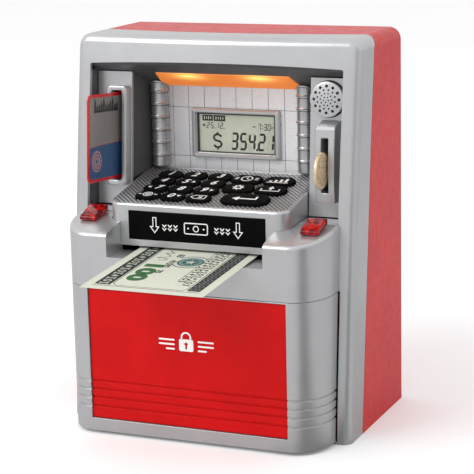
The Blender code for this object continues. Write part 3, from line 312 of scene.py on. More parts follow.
def turned_metal():
    """Bright turned metal: faint rings round it, and a satin shine."""
    graph = Graph("turned_metal", Metallic=0.9)
    rings = graph.noise(0.9, 2.0, graph.stretched(0.02, 0.02, 1.0))
    graph.set(Base_Color=graph.mix(rings, (0.50, 0.50, 0.51), (0.58, 0.58, 0.60)))
    graph.set(Roughness=graph.span(rings, 0.3, 0.7, 0.26, 0.31))
    return graph.set(Normal=graph.bump(graph.noise(4.0), 0.001))


def key_rubber():
    """Matt black rubber with a little dust on it."""
    graph = Graph("key_rubber", Specular_IOR_Level=0.06)
    dust = graph.span(graph.noise(0.5, 4.0), 0.45, 0.8)
    graph.set(Base_Color=graph.mix(dust, (0.003, 0.003, 0.0035), (0.012, 0.012, 0.013)))
    graph.set(Roughness=graph.span(graph.noise(2.5), 0.3, 0.7, 0.55, 0.70))
    return graph.set(Normal=graph.bump(graph.noise(0.45, 3.0), 0.02))


def lens_red():
    """Clear red plastic, deep in colour, with a polished surface and a faint painted glow."""
    graph = Graph("lens_red", IOR=1.49, Coat_Weight=0.25, Coat_Roughness=0.02)
    depth = graph.span(graph.noise(3.0, 2.0), 0.42, 0.60)
    graph.set(Base_Color=graph.mix(depth, (0.09, 0.0, 0.001), (0.50, 0.001, 0.003)))
    graph.set(Roughness=graph.span(graph.noise(1.4), 0.3, 0.7, 0.05, 0.10))
    graph.set(Specular_IOR_Level=0.18)
    # painted glow: the lens is no lamp, yet it gives off a faint red light
    graph.set(Emission_Color=(0.9, 0.004, 0.008), Emission_Strength=0.03)
    return graph.set(Normal=graph.bump(graph.noise(2.2), 0.05))


def lamp_diffuser():
    """Orange diffuser, lit from behind by two lamps."""
    graph = Graph("lamp_diffuser", Coat_Weight=0.4, Coat_Roughness=0.2)
    low, high = box_of("lamp_lens")
    x, y, _ = graph.axes()
    glow = None
    for lamp_x in (-LAMP_SPREAD, LAMP_SPREAD):
        across = graph.math("DIVIDE", graph.math("SUBTRACT", x, lamp_x * MM), 9.0 * MM)
        back = graph.math("SUBTRACT", y, (low.y + LAMP_BACK) * MM)
        back = graph.math("DIVIDE", back, 4.2 * MM)
        reach = graph.math("ADD", graph.math("POWER", across, 2.0), graph.math("POWER", back, 2.0))
        spot = graph.math("EXPONENT", graph.math("MULTIPLY", reach, -1.0))
        glow = spot if glow is None else graph.math("ADD", glow, spot)
    streak = graph.noise(0.8, 2.0, graph.stretched(0.03, 1.0, 1.0))
    base = graph.mix(streak, (0.74, 0.16, 0.02), (0.92, 0.30, 0.06))
    lit = graph.mix(graph.math("MINIMUM", glow, 1.0), base, (1.0, 0.80, 0.22))
    graph.set(Base_Color=base, Emission_Color=lit, Roughness=0.3)
    return graph.set(Emission_Strength=graph.math("ADD", 0.42, graph.math("MULTIPLY", glow, 0.6)))


def display_glass():
    """Grey-green liquid crystal glass, darkened with painted shadow of its surround towards its left and top
    edges.
    """
    graph = Graph("display_glass", Coat_Weight=0.5, Coat_Roughness=0.06, Roughness=0.22)
    low, high = box_of("lcd_module")
    x, _, z = graph.axes()
    # painted shadow: the glass is darker within 16 mm of its left edge and towards its top
    across = graph.span(x, low.x * MM, (low.x + 16.0) * MM)
    down = graph.span(z, (low.z + 2) * MM, high.z * MM, 1.0, 0.0)
    share = graph.math("MULTIPLY", graph.math("ADD", across, down), 0.5)
    painted_shadow_tint = graph.mix(share, (0.47, 0.51, 0.41), (0.65, 0.68, 0.56))
    cloud = graph.span(graph.noise(9.0, 3.0), 0.3, 0.7)
    graph.set(Base_Color=graph.mix(cloud, painted_shadow_tint, (0.53, 0.56, 0.45)))
    return graph.set(Normal=graph.bump(graph.noise(0.25), 0.004))


def circuit_board():
    """Green solder mask with paler copper tracks and scattered pads."""
    graph = Graph("circuit_board", Roughness=0.35, Coat_Weight=0.4)
    edge = graph.cells(3.2, "Distance", "DISTANCE_TO_EDGE")
    tracks = graph.span(edge, 0.03, 0.06, 1.0, 0.0)
    pads = graph.span(graph.cells(2.4), 0.16, 0.2, 1.0, 0.0)
    mask = graph.mix(tracks, (0.012, 0.11, 0.035), (0.03, 0.22, 0.07))
    graph.set(Base_Color=graph.mix(pads, mask, (0.5, 0.48, 0.42)), Metallic=pads)
    return graph.set(Normal=graph.bump(tracks, 0.05))


def coil_copper():
    """Copper wire wound round and round, a turn at a time, with painted shade darkening the gaps between turns."""
    graph = Graph("coil_copper", Metallic=0.8, Roughness=0.35)
    turn = graph.math("FRACT", graph.math("DIVIDE", graph.axes()[2], 0.55 * MM))
    ridge = graph.math("ABSOLUTE", graph.math("SUBTRACT", turn, 0.5))
    # painted shade: the copper is bright mid-turn and darker towards the gaps between turns
    graph.set(Base_Color=graph.mix(ridge, (0.72, 0.33, 0.14), (0.28, 0.10, 0.04)))
    return graph.set(Normal=graph.bump(ridge, 0.25))


def note_paper():
    """Cream paper with fibres and a faint wavy underprint."""
    graph = Graph("note_paper", Roughness=0.85, Sheen_Weight=0.15)
    x, y, _ = graph.axes()
    wave = graph.math("SINE", graph.math("MULTIPLY", y, 420.0))
    lines = graph.math("ADD", graph.math("DIVIDE", x, 1.1 * MM), graph.math("MULTIPLY", wave, 0.9))
    line = graph.math("ABSOLUTE", graph.math("SUBTRACT", graph.math("FRACT", lines), 0.5))
    print_share = graph.span(line, 0.05, 0.2, 0.30, 0.0)
    fibres = graph.span(graph.noise(0.5, 4.0, graph.stretched(1.0, 0.2, 1.0)), 0.35, 0.65)
    sheet = graph.mix(fibres, (0.66, 0.68, 0.56), (0.74, 0.76, 0.64))
    graph.set(Base_Color=graph.mix(print_share, sheet, (0.50, 0.58, 0.45)))
    return graph.set(Normal=graph.bump(fibres, 0.02))


def printed(name, colour, roughness=0.55):
    """Ink: uneven in strength, with a faint tooth."""
    graph = Graph(name)
    patchy = graph.span(graph.noise(0.4, 3.0), 0.35, 0.7)
    graph.set(Base_Color=graph.mix(patchy, colour, shade(colour, 1.18)))
    graph.set(Roughness=graph.span(graph.noise(1.5), 0.3, 0.7, roughness - 0.06, roughness + 0.06))
    return graph.set(Normal=graph.bump(graph.noise(0.3), 0.004))


def worn_brass():
    """Dull tan coin metal, darker in blotches where it was handled."""
    graph = Graph("worn_brass", Metallic=0.3)
    stain = graph.span(graph.noise(2.2, 4.0), 0.46, 0.70)
    graph.set(Base_Color=graph.mix(stain, (0.78, 0.62, 0.42), (0.50, 0.37, 0.23)))
    graph.set(Roughness=graph.span(stain, 0.0, 1.0, 0.36, 0.52))
    return graph.set(Normal=graph.bump(graph.noise(0.6, 3.0), 0.015))


def floor_finish():
    """White paper floor. Reflections see it dimmer, with a painted dark reflection at the right where nothing
    stands.
    """
    graph = Graph("floor_finish", Specular_IOR_Level=0.1, Roughness=0.8)
    rays = graph.rays()
    cloud = graph.span(graph.noise(400.0), 0.3, 0.7)
    white = graph.mix(cloud, (0.93, 0.93, 0.935), (0.945, 0.945, 0.95))
    # painted reflection: glossy rays see the floor dimmed, and near black where the painted dark reflection lies
    dim = graph.mix(graph.painted_dark_reflection(), (0.56, 0.56, 0.565), (0.06, 0.06, 0.06))
    graph.set(Base_Color=graph.mix(rays["Is Glossy Ray"], white, dim))
    graph.set(Emission_Color=(1.0, 1.0, 1.0))
    return graph.set(Emission_Strength=graph.math("MULTIPLY", rays["Is Camera Ray"], 0.12))


FINISHES = {
    "silver": silver_paint(),
    "chrome": turned_metal(),
    "tile": tile_enamel(),
    "case_red": moulded(
        "case_red", (0.60, 0.018, 0.021), 0.40, 0.5, 0.012, Coat_Weight=0.08, Specular_IOR_Level=0.4
    ),
    "panel_red": moulded(
        "panel_red", (0.60, 0.003, 0.004), 0.36, 0.6, 0.005, Specular_IOR_Level=0.14
    ),
    "dark": moulded("dark_plastic", (0.075, 0.075, 0.08), 0.42, 0.45, 0.02),
    "black": moulded("black_plastic", (0.012, 0.012, 0.013), 0.45, 0.4, 0.02),
    "sign": moulded("sign_black", (0.0022, 0.0022, 0.0025), 0.34, 2.0, 0.003, Specular_IOR_Level=0.05),
    "deck_painted_shade": deck_painted_shade(),
    "white": moulded("white_plastic", (0.74, 0.73, 0.69), 0.45),
    "mark": printed("white_mark", (0.88, 0.88, 0.87)),
    "key": key_rubber(),
    "lens": lens_red(),
    "lamp": lamp_diffuser(),
    "display": display_glass(),
    "display_ink": printed("display_ink", (0.018, 0.020, 0.018), 0.3),
    "display_faint": printed("display_faint", (0.46, 0.49, 0.39), 0.3),
    "display_pale": printed("display_pale", (0.55, 0.58, 0.47), 0.3),
    "board": circuit_board(),
    "steel": brushed("plated_steel", (0.56, 0.56, 0.57), 0.30),
    "coil": coil_copper(),
    "roller": moulded("roller_rubber", (0.022, 0.022, 0.024), 0.75, 0.5, 0.06),
    "paper": note_paper(),
    "ink_dark": printed("note_ink_dark", (0.012, 0.016, 0.014), 0.7),
    "ink_green": printed("note_ink_green", (0.035, 0.14, 0.045), 0.7),
    "ink_teal": printed("note_ink_teal", (0.03, 0.12, 0.12), 0.7),
    "coin": worn_brass(),
    "card_red": moulded("card_red", (0.62, 0.006, 0.012), 0.25, 0.6, 0.004, Coat_Weight=0.5),
    "card_grey": moulded("card_grey", (0.24, 0.228, 0.222), 0.42, 0.5, 0.006),
    "card_blue": moulded("card_blue", (0.034, 0.095, 0.22), 0.42, 0.5, 0.006),
    "card_rose": printed("card_rose", (0.42, 0.24, 0.25), 0.4),
    "card_ink": printed("card_ink", (0.022, 0.020, 0.022), 0.4),
    "note_pale": printed("note_pale", (0.50, 0.53, 0.45), 0.7),
    "note_grey": printed("note_grey", (0.22, 0.24, 0.23), 0.7),
}

SLOT_FINISH = {
    "silver_plastic": "silver",
    "red_plastic": "case_red",
    "red_panel": "panel_red",
    "dark_plastic": "dark",
    "black_rubber": "key",
    "black_gloss": "sign",
    "orange_clear": "lamp",
    "red_clear": "lens",
    "lcd_glass": "display",
    "board": "board",
    "steel": "steel",
    "white_plastic": "white",
    "roller_rubber": "roller",
    "paper": "paper",
    "coin_brass": "coin",
    "copper_coil": "coil",
    "card_print": "card_red",
}


# ------------------------------------------------------------ mesh building


def dress(mesh, name, finish, body, stands_for=(), slot=None):
    """Makes a mesh a piece: its finish, smooth curves, the body it rides on and what it stands for."""
    mesh.materials.clear()
    mesh.materials.append(FINISHES[finish])
    mesh.shade_smooth()
    mesh.set_sharp_from_angle(angle=SMOOTH_ANGLE)
    obj = bpy.data.objects.new(name, mesh)
    bpy.context.scene.collection.objects.link(obj)
    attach(obj, body)
    if stands_for:
        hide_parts(*stands_for)
        slot = slot or slot_of_node(stands_for[0])
    return obj


class Shape:
    """Solids gathered into one mesh, in millimetres."""

    def __init__(self):
        self.points = []
        self.faces = []

    def solid(self, points, faces):
        start = len(self.points)
        self.points += [Vector(point) for point in points]
        self.faces += [tuple(start + i for i in face) for face in faces]

    def loft(self, rings, closed=False):
        """A solid through rings of points. It has flat ends, or closes on itself."""
        count = len(rings[0])
        faces = []
        for ring in range(len(rings) if closed else len(rings) - 1):
            here = ring * count
            there = (ring + 1) % len(rings) * count
            for i in range(count):
                j = (i + 1) % count
                faces.append((here + i, here + j, there + j, there + i))
        if not closed:
            faces.append(tuple(reversed(range(count))))
            last = (len(rings) - 1) * count
            faces.append(tuple(range(last, last + count)))
        self.solid([point for ring in rings for point in ring], faces)

    def prism(self, plane, outline, low=0.0, high=INK):
        """An outline in a plane, raised from one height to another."""
        self.loft([[plane.at(a, b, lift) for a, b in outline] for lift in (low, high)])

    def box(self, low, high):
        plane = Plane((0, 0, 0), (1, 0, 0), (0, 1, 0))
        outline = [(low[0], low[1]), (high[0], low[1]), (high[0], high[1]), (low[0], high[1])]
        self.prism(plane, outline, low[2], high[2])

    def ribbon(self, plane, path, wide, low=0.0, high=INK, closed=False):
        """A band of even width along a path in a plane."""
        sides = [[], []]
        count = len(path)
        for i, point in enumerate(path):
            before = Vector(path[(i - 1) % count] if closed or i else point)
            after = Vector(path[(i + 1) % count] if closed or i < count - 1 else point)
            here = Vector(point)
            into = (here - before).normalized() if (here - before).length else (after - here).normalized()
            onward = (after - here).normalized() if (after - here).length else into
            normal = Vector((-(into.y + onward.y), into.x + onward.x)).normalized()
            across = Vector((-into.y, into.x))
            reach = wide / 2 / max(normal.dot(across), 0.35)
            sides[0].append(here + normal * reach)
            sides[1].append(here - normal * reach)
        rings = []
        for left, right in zip(*sides):
            corners = ((left, low), (right, low), (right, high), (left, high))
            rings.append([plane.at(p.x, p.y, lift) for p, lift in corners])
        self.loft(rings, closed)

    def ring(self, plane, a, b, radius, wide, low=0.0, high=INK, steps=28):
        """A band round a circle."""
        path = [(a + x, b + y) for x, y in circle(radius, steps)]
        self.ribbon(plane, path, wide, low, high, True)

    def disc(self, plane, a, b, radius, low=0.0, high=INK, steps=28):
        self.prism(plane, [(a + x, b + y) for x, y in circle(radius, steps)], low, high)

    def words(self, plane, text, size, high, bold, slant=0.0):
        """Raised figures from Blender's own font, centred on the plane's origin."""
        curve = bpy.data.curves.new("figures", "FONT")
        curve.body = text
        curve.size = size
        curve.shear = slant
        curve.offset = bold
        curve.align_x = "CENTER"
        curve.align_y = "CENTER"
        curve.extrude = high / 2
        curve.resolution_u = 4
        helper = bpy.data.objects.new("figures", curve)
        bpy.context.scene.collection.objects.link(helper)
        graph = bpy.context.evaluated_depsgraph_get()
        made = bpy.data.meshes.new_from_object(helper.evaluated_get(graph))
        points = [plane.at(v.co.x, v.co.y, v.co.z + high / 2) for v in made.vertices]
        self.solid(points, [tuple(face.vertices) for face in made.polygons])
        bpy.data.objects.remove(helper)

    def mesh(self, name):
        mesh = bpy.data.meshes.new(name)
        mesh.from_pydata([point * MM for point in self.points], [], self.faces)
        shell = bmesh.new()
        shell.from_mesh(mesh)
        bmesh.ops.remove_doubles(shell, verts=shell.verts[:], dist=OWN_WELD)
        bmesh.ops.recalc_face_normals(shell, faces=shell.faces[:])
        shell.to_mesh(mesh)
        shell.free()
        return mesh

    def piece(self, name, finish, body, stands_for=(), slot=None):
        return dress(self.mesh(name), name, finish, body, stands_for, slot)


def circle(radius, steps, start=0.0):
    angles = [start + 2 * math.pi * i / steps for i in range(steps)]
    return [(radius * math.cos(angle), radius * math.sin(angle)) for angle in angles]


def arc(radius, start, end, steps):
    """Points along part of a circle, with its angles in degrees."""
    angles = [math.radians(start + (end - start) * i / steps) for i in range(steps + 1)]
    return [(radius * math.cos(angle), radius * math.sin(angle)) for angle in angles]


def rectangle(wide, high, a=0.0, b=0.0):
    x, y = wide / 2, high / 2
    return [(a - x, b - y), (a + x, b - y), (a + x, b + y), (a - x, b + y)]


def spiked(count, even, odd, a=0.0, b=0.0, start=0.0):
    """An outline whose corners lie at two distances from its middle by turns."""
    spots = enumerate(circle(1.0, count, start))
    return [(a + x * (odd if i % 2 else even), b + y * (odd if i % 2 else even)) for i, (x, y) in spots]


def softened(outline, radius, steps=4):
    """An outline with each corner turned into an arc."""
    points = []
    count = len(outline)
    for i in range(count):
        corner = Vector(outline[i])
        before = (Vector(outline[i - 1]) - corner).normalized()
        after = (Vector(outline[(i + 1) % count]) - corner).normalized()
        half = math.acos(max(-1.0, min(1.0, before.dot(after)))) / 2
        reach = radius / math.tan(half)
        start = corner + before * reach
        end = corner + after * reach
        centre = corner + (before + after).normalized() * (radius / math.sin(half))
        first = (start - centre).normalized()
        last = (end - centre).normalized()
        for step in range(steps + 1):
            share = step / steps
            point = centre + (first * (1 - share) + last * share).normalized() * radius
            points.append((point.x, point.y))
    return points


def turned(points, a, b, angle):
    """Points turned about the origin, then moved to a place."""
    cosine, sine = math.cos(angle), math.sin(angle)
    return [(a + x * cosine - y * sine, b + x * sine + y * cosine) for x, y in points]


def rounded(wide, high, radius, steps=6, a=0.0, b=0.0):
    return softened(rectangle(wide, high, a, b), radius, steps)


def boolean(target, tool, operation):
    """The mesh left when one mesh is cut by, joined to or met with another."""
    first = bpy.data.objects.new("target", target)
    second = bpy.data.objects.new("tool", tool)
    for obj in (first, second):
        bpy.context.scene.collection.objects.link(obj)
    modifier = first.modifiers.new("cut", "BOOLEAN")
    modifier.operation = operation
    modifier.solver = "EXACT"
    modifier.object = second
    graph = bpy.context.evaluated_depsgraph_get()
    made = bpy.data.meshes.new_from_object(first.evaluated_get(graph))
    for obj in (first, second):
        bpy.data.objects.remove(obj)
    return made


def soften_edges(obj, width, segments=2):
    """Rounds an object's sharp edges and keeps its flat faces flat in the light."""
    bevel = obj.modifiers.new("soft_edges", "BEVEL")
    bevel.width = width * MM
    bevel.segments = segments
    bevel.limit_method = "ANGLE"
    bevel.angle_limit = EDGE_ANGLE
    bevel.miter_outer = "MITER_ARC"
    weigh = obj.modifiers.new("even_shading", "WEIGHTED_NORMAL")
    weigh.keep_sharp = True
    weigh.weight = 80


def cleaned(node, name):
    """A copy of a node's mesh in which coplanar triangles are whole faces again."""
    shell = bmesh.new()
    shell.from_mesh(frame["nodes"][node].data)
    bmesh.ops.remove_doubles(shell, verts=shell.verts[:], dist=SAME_PLACE)
    bmesh.ops.dissolve_limit(shell, angle_limit=FLAT_ANGLE, verts=shell.verts[:], edges=shell.edges[:])
    mesh = bpy.data.meshes.new(name)
    shell.to_mesh(mesh)
    shell.free()
    for kept in ("custom_normal", "sharp_face", "sharp_edge"):
        if kept in mesh.attributes:
            mesh.attributes.remove(mesh.attributes[kept])
    return mesh


def refined(node, finish, width, segments=2):
    """A clean copy of a node with its edges rounded, which stands for the node."""
    name = f"{node}_skin"
    obj = dress(cleaned(node, name), name, finish, body_of_node(node), (node,))
    soften_edges(obj, width, segments)


# ------------------------------------------------------------ case and body


def shells():
    """Outer shells, with the soft edges of moulded plastic."""
    refined("rear_case", "case_red", 0.35)
    refined("front_frame", "silver", 0.45)
    refined("upper_body", "silver", 0.55, 3)
    refined("door_frame", "silver", 0.25)
    refined("door_panel", "panel_red", 0.15)
    refined("console_housing", "silver", 0.20)
    refined("recess_hood", "dark", 0.25)
    refined("card_panel", "silver", 0.30)
    refined("coin_panel", "silver", 0.30)
    refined("coin_slot_bezel", "silver", 0.5, 3)
    refined("slot_sign", "sign", 0.12)
    refined("battery_door", "case_red", 0.4)


def tile_wall():
    """Tiled back wall of the recess, with the display's window."""
    body = body_of_node("tile_wall")
    low, high = box_of("tile_wall")
    front = high.y - WALL_THICK
    glass_low, glass_high = box_of("lcd_module")
    bezel_low, bezel_high = box_of("lcd_bezel")
    gap = WINDOW_GAP
    hole = (glass_low.x - gap, glass_high.x + gap, glass_low.z - gap, glass_high.z + gap)
    wall = Shape()
    side = min(-low.x, high.x) - WALL_SIDE_GAP
    back = front + TILE_DEEP
    wall.box((-side, back, low.z), (side, high.y, hole[2]))
    wall.box((-side, back, hole[3]), (side, high.y, high.z))
    wall.box((-side, back, hole[2]), (hole[0], high.y, hole[3]))
    wall.box((hole[1], back, hole[2]), (side, high.y, hole[3]))
    wall.piece("tile_wall_back", "dark", body, ("tile_wall",))
    rows = (low.z, bezel_low.z, bezel_high.z, high.z)
    tiles = Shape()
    first = middle_of("lcd_module").x - 4.0 * TILE_PITCH
    lines = [-side] + [first + i * TILE_PITCH for i in range(9)] + [side]
    for left, right in zip(lines, lines[1:]):
        for bottom, top in zip(rows, rows[1:]):
            parts = [(left, right)]
            if bottom == bezel_low.z:
                parts = [(left, min(right, hole[0])), (max(left, hole[1]), right)]
            for start, end in parts:
                if end - start > 2 * TILE_GAP:
                    gap = TILE_GAP / 2
                    tiles.box((start + gap, front, bottom + gap), (end - gap, back + 0.05, top - gap))
    soften_edges(tiles.piece("wall_tiles", "tile", body, (), slot_of_node("tile_wall")), 0.06)


PILLAR_RADIUS, COLLAR_RADIUS = 4.8, 5.3
COLLARS = 6
COLLAR_PITCH = 6.9
COLLAR_FIRST = 139.7
HEAD_CLEARANCE = 0.39
PILLAR_SUNK = 0.6


def ceiling_line():
    """The height of the recess's ceiling at a given y, from the diffuser's underside."""
    low, high = box_of("lamp_lens")
    points = [vertex.co / MM for vertex in frame["nodes"]["lamp_lens"].data.vertices]
    front = min(point.z for point in points if point.y < low.y + 0.01)
    rear = min(point.z for point in points if point.y > high.y - 0.01)
    slope = (rear - front) / (high.y - low.y)
    return lambda y: front + slope * (y - low.y)


def pillars():
    """Bright metal pillars with collars at the sides of the tiled wall."""
    low, high = box_of("tile_wall")
    foot = middle_of("key_2").z + 4.5
    ceiling = ceiling_line()
    back = high.y - WALL_THICK + PILLAR_SUNK
    y = low.y + COLLAR_RADIUS

    def ring_at(x, radius, height):
        ring = []
        for a, b in circle(radius, 48):
            place = min(y + b, back)
            ring.append((x + a, place, height(place)))
        return ring

    for side, name in ((-1, "pillar_left"), (1, "pillar_right")):
        profile = [(PILLAR_RADIUS - 0.5, foot), (PILLAR_RADIUS, foot + 0.4)]
        for collar in range(COLLARS):
            z = COLLAR_FIRST + collar * COLLAR_PITCH
            profile += [(PILLAR_RADIUS, z - 1.0), (PILLAR_RADIUS - 0.55, z - 0.7)]
            profile += [(PILLAR_RADIUS - 0.55, z - 0.5), (COLLAR_RADIUS, z - 0.3)]
            profile += [(COLLAR_RADIUS, z + 0.35), (PILLAR_RADIUS + 0.1, z + 0.75)]
            profile += [(PILLAR_RADIUS, z + 1.1)]
        x = side * (high.x - COLLAR_RADIUS)
        rings = [ring_at(x, radius, lambda y, z=z: z) for radius, z in profile]
        head = [(PILLAR_RADIUS, 1.15), (COLLAR_RADIUS, 0.95), (COLLAR_RADIUS, 0.2)]
        for radius, below in head + [(PILLAR_RADIUS + 0.2, 0.0)]:
            drop = HEAD_CLEARANCE + below
            rings.append(ring_at(x, radius, lambda y, drop=drop: ceiling(y) - drop))
        shape = Shape()
        shape.loft(rings)
        shape.piece(name, "chrome", "housing", (), slot_of_node("tile_wall"))


# ------------------------------------------------------------------ display


def framed(shape, plane, outer, inner, levels):
    """A closed surround. Each level is (share of the way from outer to inner outline, lift)."""
    rings = []
    for share, lift in levels:
        ring = []
        for (a, b), (c, d) in zip(outer, inner):
            ring.append(plane.at(a + (c - a) * share, b + (d - b) * share, lift))
        rings.append(ring)
    shape.loft(rings, True)


def display():
    """Bevelled surround, liquid crystal glass and its figures."""
    body = body_of_node("lcd_bezel")
    low, high = box_of("lcd_bezel")
    centre = (low + high) / 2
    plane = front_plane(centre.x, high.y, centre.z)
    proud = high.y - low.y
    glass_low, glass_high = box_of("lcd_module")
    outer = rounded(high.x - low.x, high.z - low.z, 1.2)
    inner = rounded(WINDOW[0], WINDOW[1], 0.5)
    surround = Shape()
    levels = ((0.0, 0.0), (0.0, proud - 1.0), (0.10, proud - 0.35), (0.28, proud), (0.72, proud))
    levels += ((0.84, proud - 0.30), (0.90, proud - 1.1), (1.0, proud - 1.3), (1.0, 0.0))
    framed(surround, plane, outer, inner, levels)
    surround.piece("display_surround", "silver", body, ("lcd_bezel",))
    # painted shade: black lining on the window's inner walls, where the surround only lies in shade
    liner_shade = Shape()
    edge = rounded(WINDOW[0] - 1.5, WINDOW[1] - 1.3, 0.3)
    framed(liner_shade, plane, inner, edge, ((0.02, -0.1), (0.02, 0.5), (1.0, 0.2), (1.0, -0.1)))
    liner_shade.piece("display_window_shade", "black", body, (), "dark_plastic")
    glass = Shape()
    face = front_plane(centre.x, glass_low.y, centre.z)
    wide, high_ = glass_high.x - glass_low.x, glass_high.z - glass_low.z
    glass.prism(face, rounded(wide, high_, 0.6), -(glass_high.y - glass_low.y), 0.0)
    glass.piece("display_glass", "display", body_of_node("lcd_module"), ("lcd_module",))
    figures(face)


WINDOW = (45.0, 21.4)
SEGMENTS = {
    "0": "abcdef",
    "1": "bc",
    "2": "abged",
    "3": "abgcd",
    "4": "fgbc",
    "5": "afgcd",
    "7": "abc",
}
LEAN = 0.09  # how far the display's figures lean, per unit of height


def seven_segment(lit, faint, plane, figure, a, b, high, thick, ratio=0.5):
    """One seven-segment figure, with its unlit bars kept faintly visible."""
    wide = high * ratio
    gap = thick * 0.12
    t = thick / 2

    def leaned(points):
        return [(a + x + (y - high / 2) * LEAN, b + y) for x, y in points]

    def level(y):
        left, right = gap + t * 0.4, wide - gap - t * 0.4
        lower = [(left, y), (left + t, y - t), (right - t, y - t)]
        return lower + [(right, y), (right - t, y + t), (left + t, y + t)]

    def upright(x, low, top):
        right = [(x, low), (x + t, low + t), (x + t, top - t)]
        return right + [(x, top), (x - t, top - t), (x - t, low + t)]

    half = high / 2
    bars = {"a": level(high - t), "g": level(half), "d": level(t)}
    for x, upper, lower in ((t, "f", "e"), (wide - t, "b", "c")):
        bars[upper] = upright(x, half + gap, high - t - gap)
        bars[lower] = upright(x, t + gap, half - gap)
    for label, outline in bars.items():
        shape = lit if label in SEGMENTS[figure] else faint
        shape.prism(plane, leaned(outline))


def figures(face):
    """What the display shows: two flags, a date, a time, and an amount of money."""
    body = body_of_node("lcd_module")
    lit, faint, pale = Shape(), Shape(), Shape()
    for a, wide in ((-16.9, 6.2), (-10.0, 6.8)):
        lit.prism(face, rectangle(wide, 3.2, a, 7.9))
        for i in range(4):
            stroke = rectangle(0.45, 1.7 - 0.5 * (i % 2), a + (i - 1.5) * wide / 5, 7.9)
            pale.prism(face, stroke, INK, 1.6 * INK)
    for a, figure in zip((-17.6, -15.2, -12.0, -9.7), "2512"):
        seven_segment(lit, faint, face, figure, a, 2.2, 3.4, 0.42)
    for a in (-12.9, -7.4):
        lit.disc(face, a, 2.5, 0.32, steps=8)
    lit.prism(face, [(-20.2, 3.9), (-18.6, 4.9), (-18.6, 2.9)])
    for a, figure in zip((12.2, 15.6, 17.8), "730"):
        seven_segment(lit, faint, face, figure, a, 2.2, 3.6, 0.42)
    for b in (3.2, 4.7):
        lit.disc(face, 14.8, b, 0.28, steps=8)
    lit.prism(face, rectangle(1.8, 0.5, 10.0, 4.0))
    lit.ribbon(face, [(19.9, 4.1), (20.4, 3.5), (21.2, 4.5)], 0.35)
    for a, figure in zip((-3.4, 1.6, 6.6, 12.2, 17.2), "35421"):
        seven_segment(lit, faint, face, figure, a, -9.0, 9.6, 1.25, 0.44)
    lit.disc(face, 11.6, -8.4, 0.7, steps=12)
    money_sign(lit, face, -11.3, -4.4)
    lit.piece("display_figures", "display_ink", body, (), "lcd_glass")
    faint.piece("display_unlit", "display_faint", body, (), "lcd_glass")
    pale.piece("display_flag_marks", "display_pale", body, (), "lcd_glass")


def money_sign(shape, face, a, b):
    """A generic currency sign: two hooks and an upright bar."""
    curve = [(a + 1.25 * x, b + 1.75 + y) for x, y in arc(1.75, 15, 270, 12)]
    curve += [(a + 1.25 * x, b - 1.75 + y) for x, y in arc(1.75, 90, -165, 12)]
    shape.ribbon(face, curve, 1.15)
    for side in (-1, 1):
        shape.prism(face, rectangle(0.95, 1.1, a, b + side * 4.3))


# ------------------------------------------------------------------- keypad


def key_outline(wide, deep, inset, scallop=0.0):
    """Key plan: a bar whose ends are cut back at the corners, softened, with a scalloped edge."""
    half, tall = wide / 2, deep / 2
    nip = tall * 0.55
    right = [(half - nip, -tall), (half, -tall + nip), (half, tall - nip), (half - nip, tall)]
    outline = softened(right + [(-x, -y) for x, y in right], 0.6, 4)
    if scallop:
        outline = scalloped(outline, scallop)
    return [(a * (1 - inset / half), b * (1 - inset / tall)) for a, b in outline]


def scalloped(outline, depth):
    """An outline walked at even steps, with shallow waves pressed into it."""
    corners = [Vector(point) for point in outline]
    legs = [(end - start).length for start, end in zip(corners, corners[1:] + corners[:1])]
    steps = round(sum(legs) / SCALLOP_PITCH) * SCALLOP_STEPS
    points = []
    leg, walked = 0, 0.0
    for step in range(steps):
        reach = sum(legs) * step / steps
        while reach > walked + legs[leg]:
            walked += legs[leg]
            leg += 1
        start, end = corners[leg], corners[(leg + 1) % len(corners)]
        along = (end - start) / legs[leg]
        inward = Vector((-along.y, along.x))
        press = depth * (0.5 - 0.5 * math.cos(2 * math.pi * step / SCALLOP_STEPS))
        point = start + along * (reach - walked) + inward * press
        points.append((point.x, point.y))
    return points


def key_frame(node):
    """The deck's plane under a key, and the key's width and depth."""
    low, high = box_of(node)
    middle = (low + high) / 2
    normal = -PRESS
    origin = middle + normal * (KEY_HEIGHT / 2 - KEY_PROUD)
    slope_sine = PRESS.y
    deep = ((high.y - low.y) - KEY_HEIGHT * slope_sine) / -PRESS.z
    return Plane(origin, (1, 0, 0), DECK_UP), high.x - low.x, deep


def key_nodes():
    return [node for node in frame["nodes"] if node.startswith("key_")]


def keys():
    """Soft black keys with domed edges and white marks."""
    rise = ((KEY_PROUD - KEY_HEIGHT, 0.0), (1.5, 0.0), (1.75, 0.06), (1.92, 0.2), (KEY_PROUD, 0.45))
    for node in key_nodes():
        plane, wide, deep = key_frame(node)
        shape = Shape()
        rings = []
        for lift, inset in rise:
            outline = key_outline(wide, deep, inset, SCALLOP)
            rings.append([plane.at(a, b, lift) for a, b in outline])
        shape.loft(rings)
        shape.piece(f"{node}_cap", "key", body_of_node(node), (node,))
        marks = Shape()
        key_mark(marks, plane.moved(lift=KEY_PROUD), node[len("key_") :])
        marks.piece(f"{node}_mark", "mark", body_of_node(node), (), "black_rubber")


ARROWS = {"5": (4.3, 90), "0": (4.3, -90), "9": (4.3, 0), "7": (-4.3, 180)}


def arrow_head(shape, plane, a, b, turn, size=1.3):
    points = ((size * 0.9, 0.0), (-size * 0.7, size), (-size * 0.7, -size))
    shape.prism(plane, turned(points, a, b, math.radians(turn)))


def key_mark(shape, plane, label):
    """White figure or sign on a key."""
    if label.isdigit():
        shift = 0.0
        if label in ARROWS:
            a, turn = ARROWS[label]
            shift = -math.copysign(1.4, a)
            arrow_head(shape, plane, a - math.copysign(0.9, a), 0.0, turn)
        shape.words(plane.moved(shift, 0.0), label, 6.8, INK, 0.16, 0.3)
        return
    KEY_SIGNS[label](shape, plane)


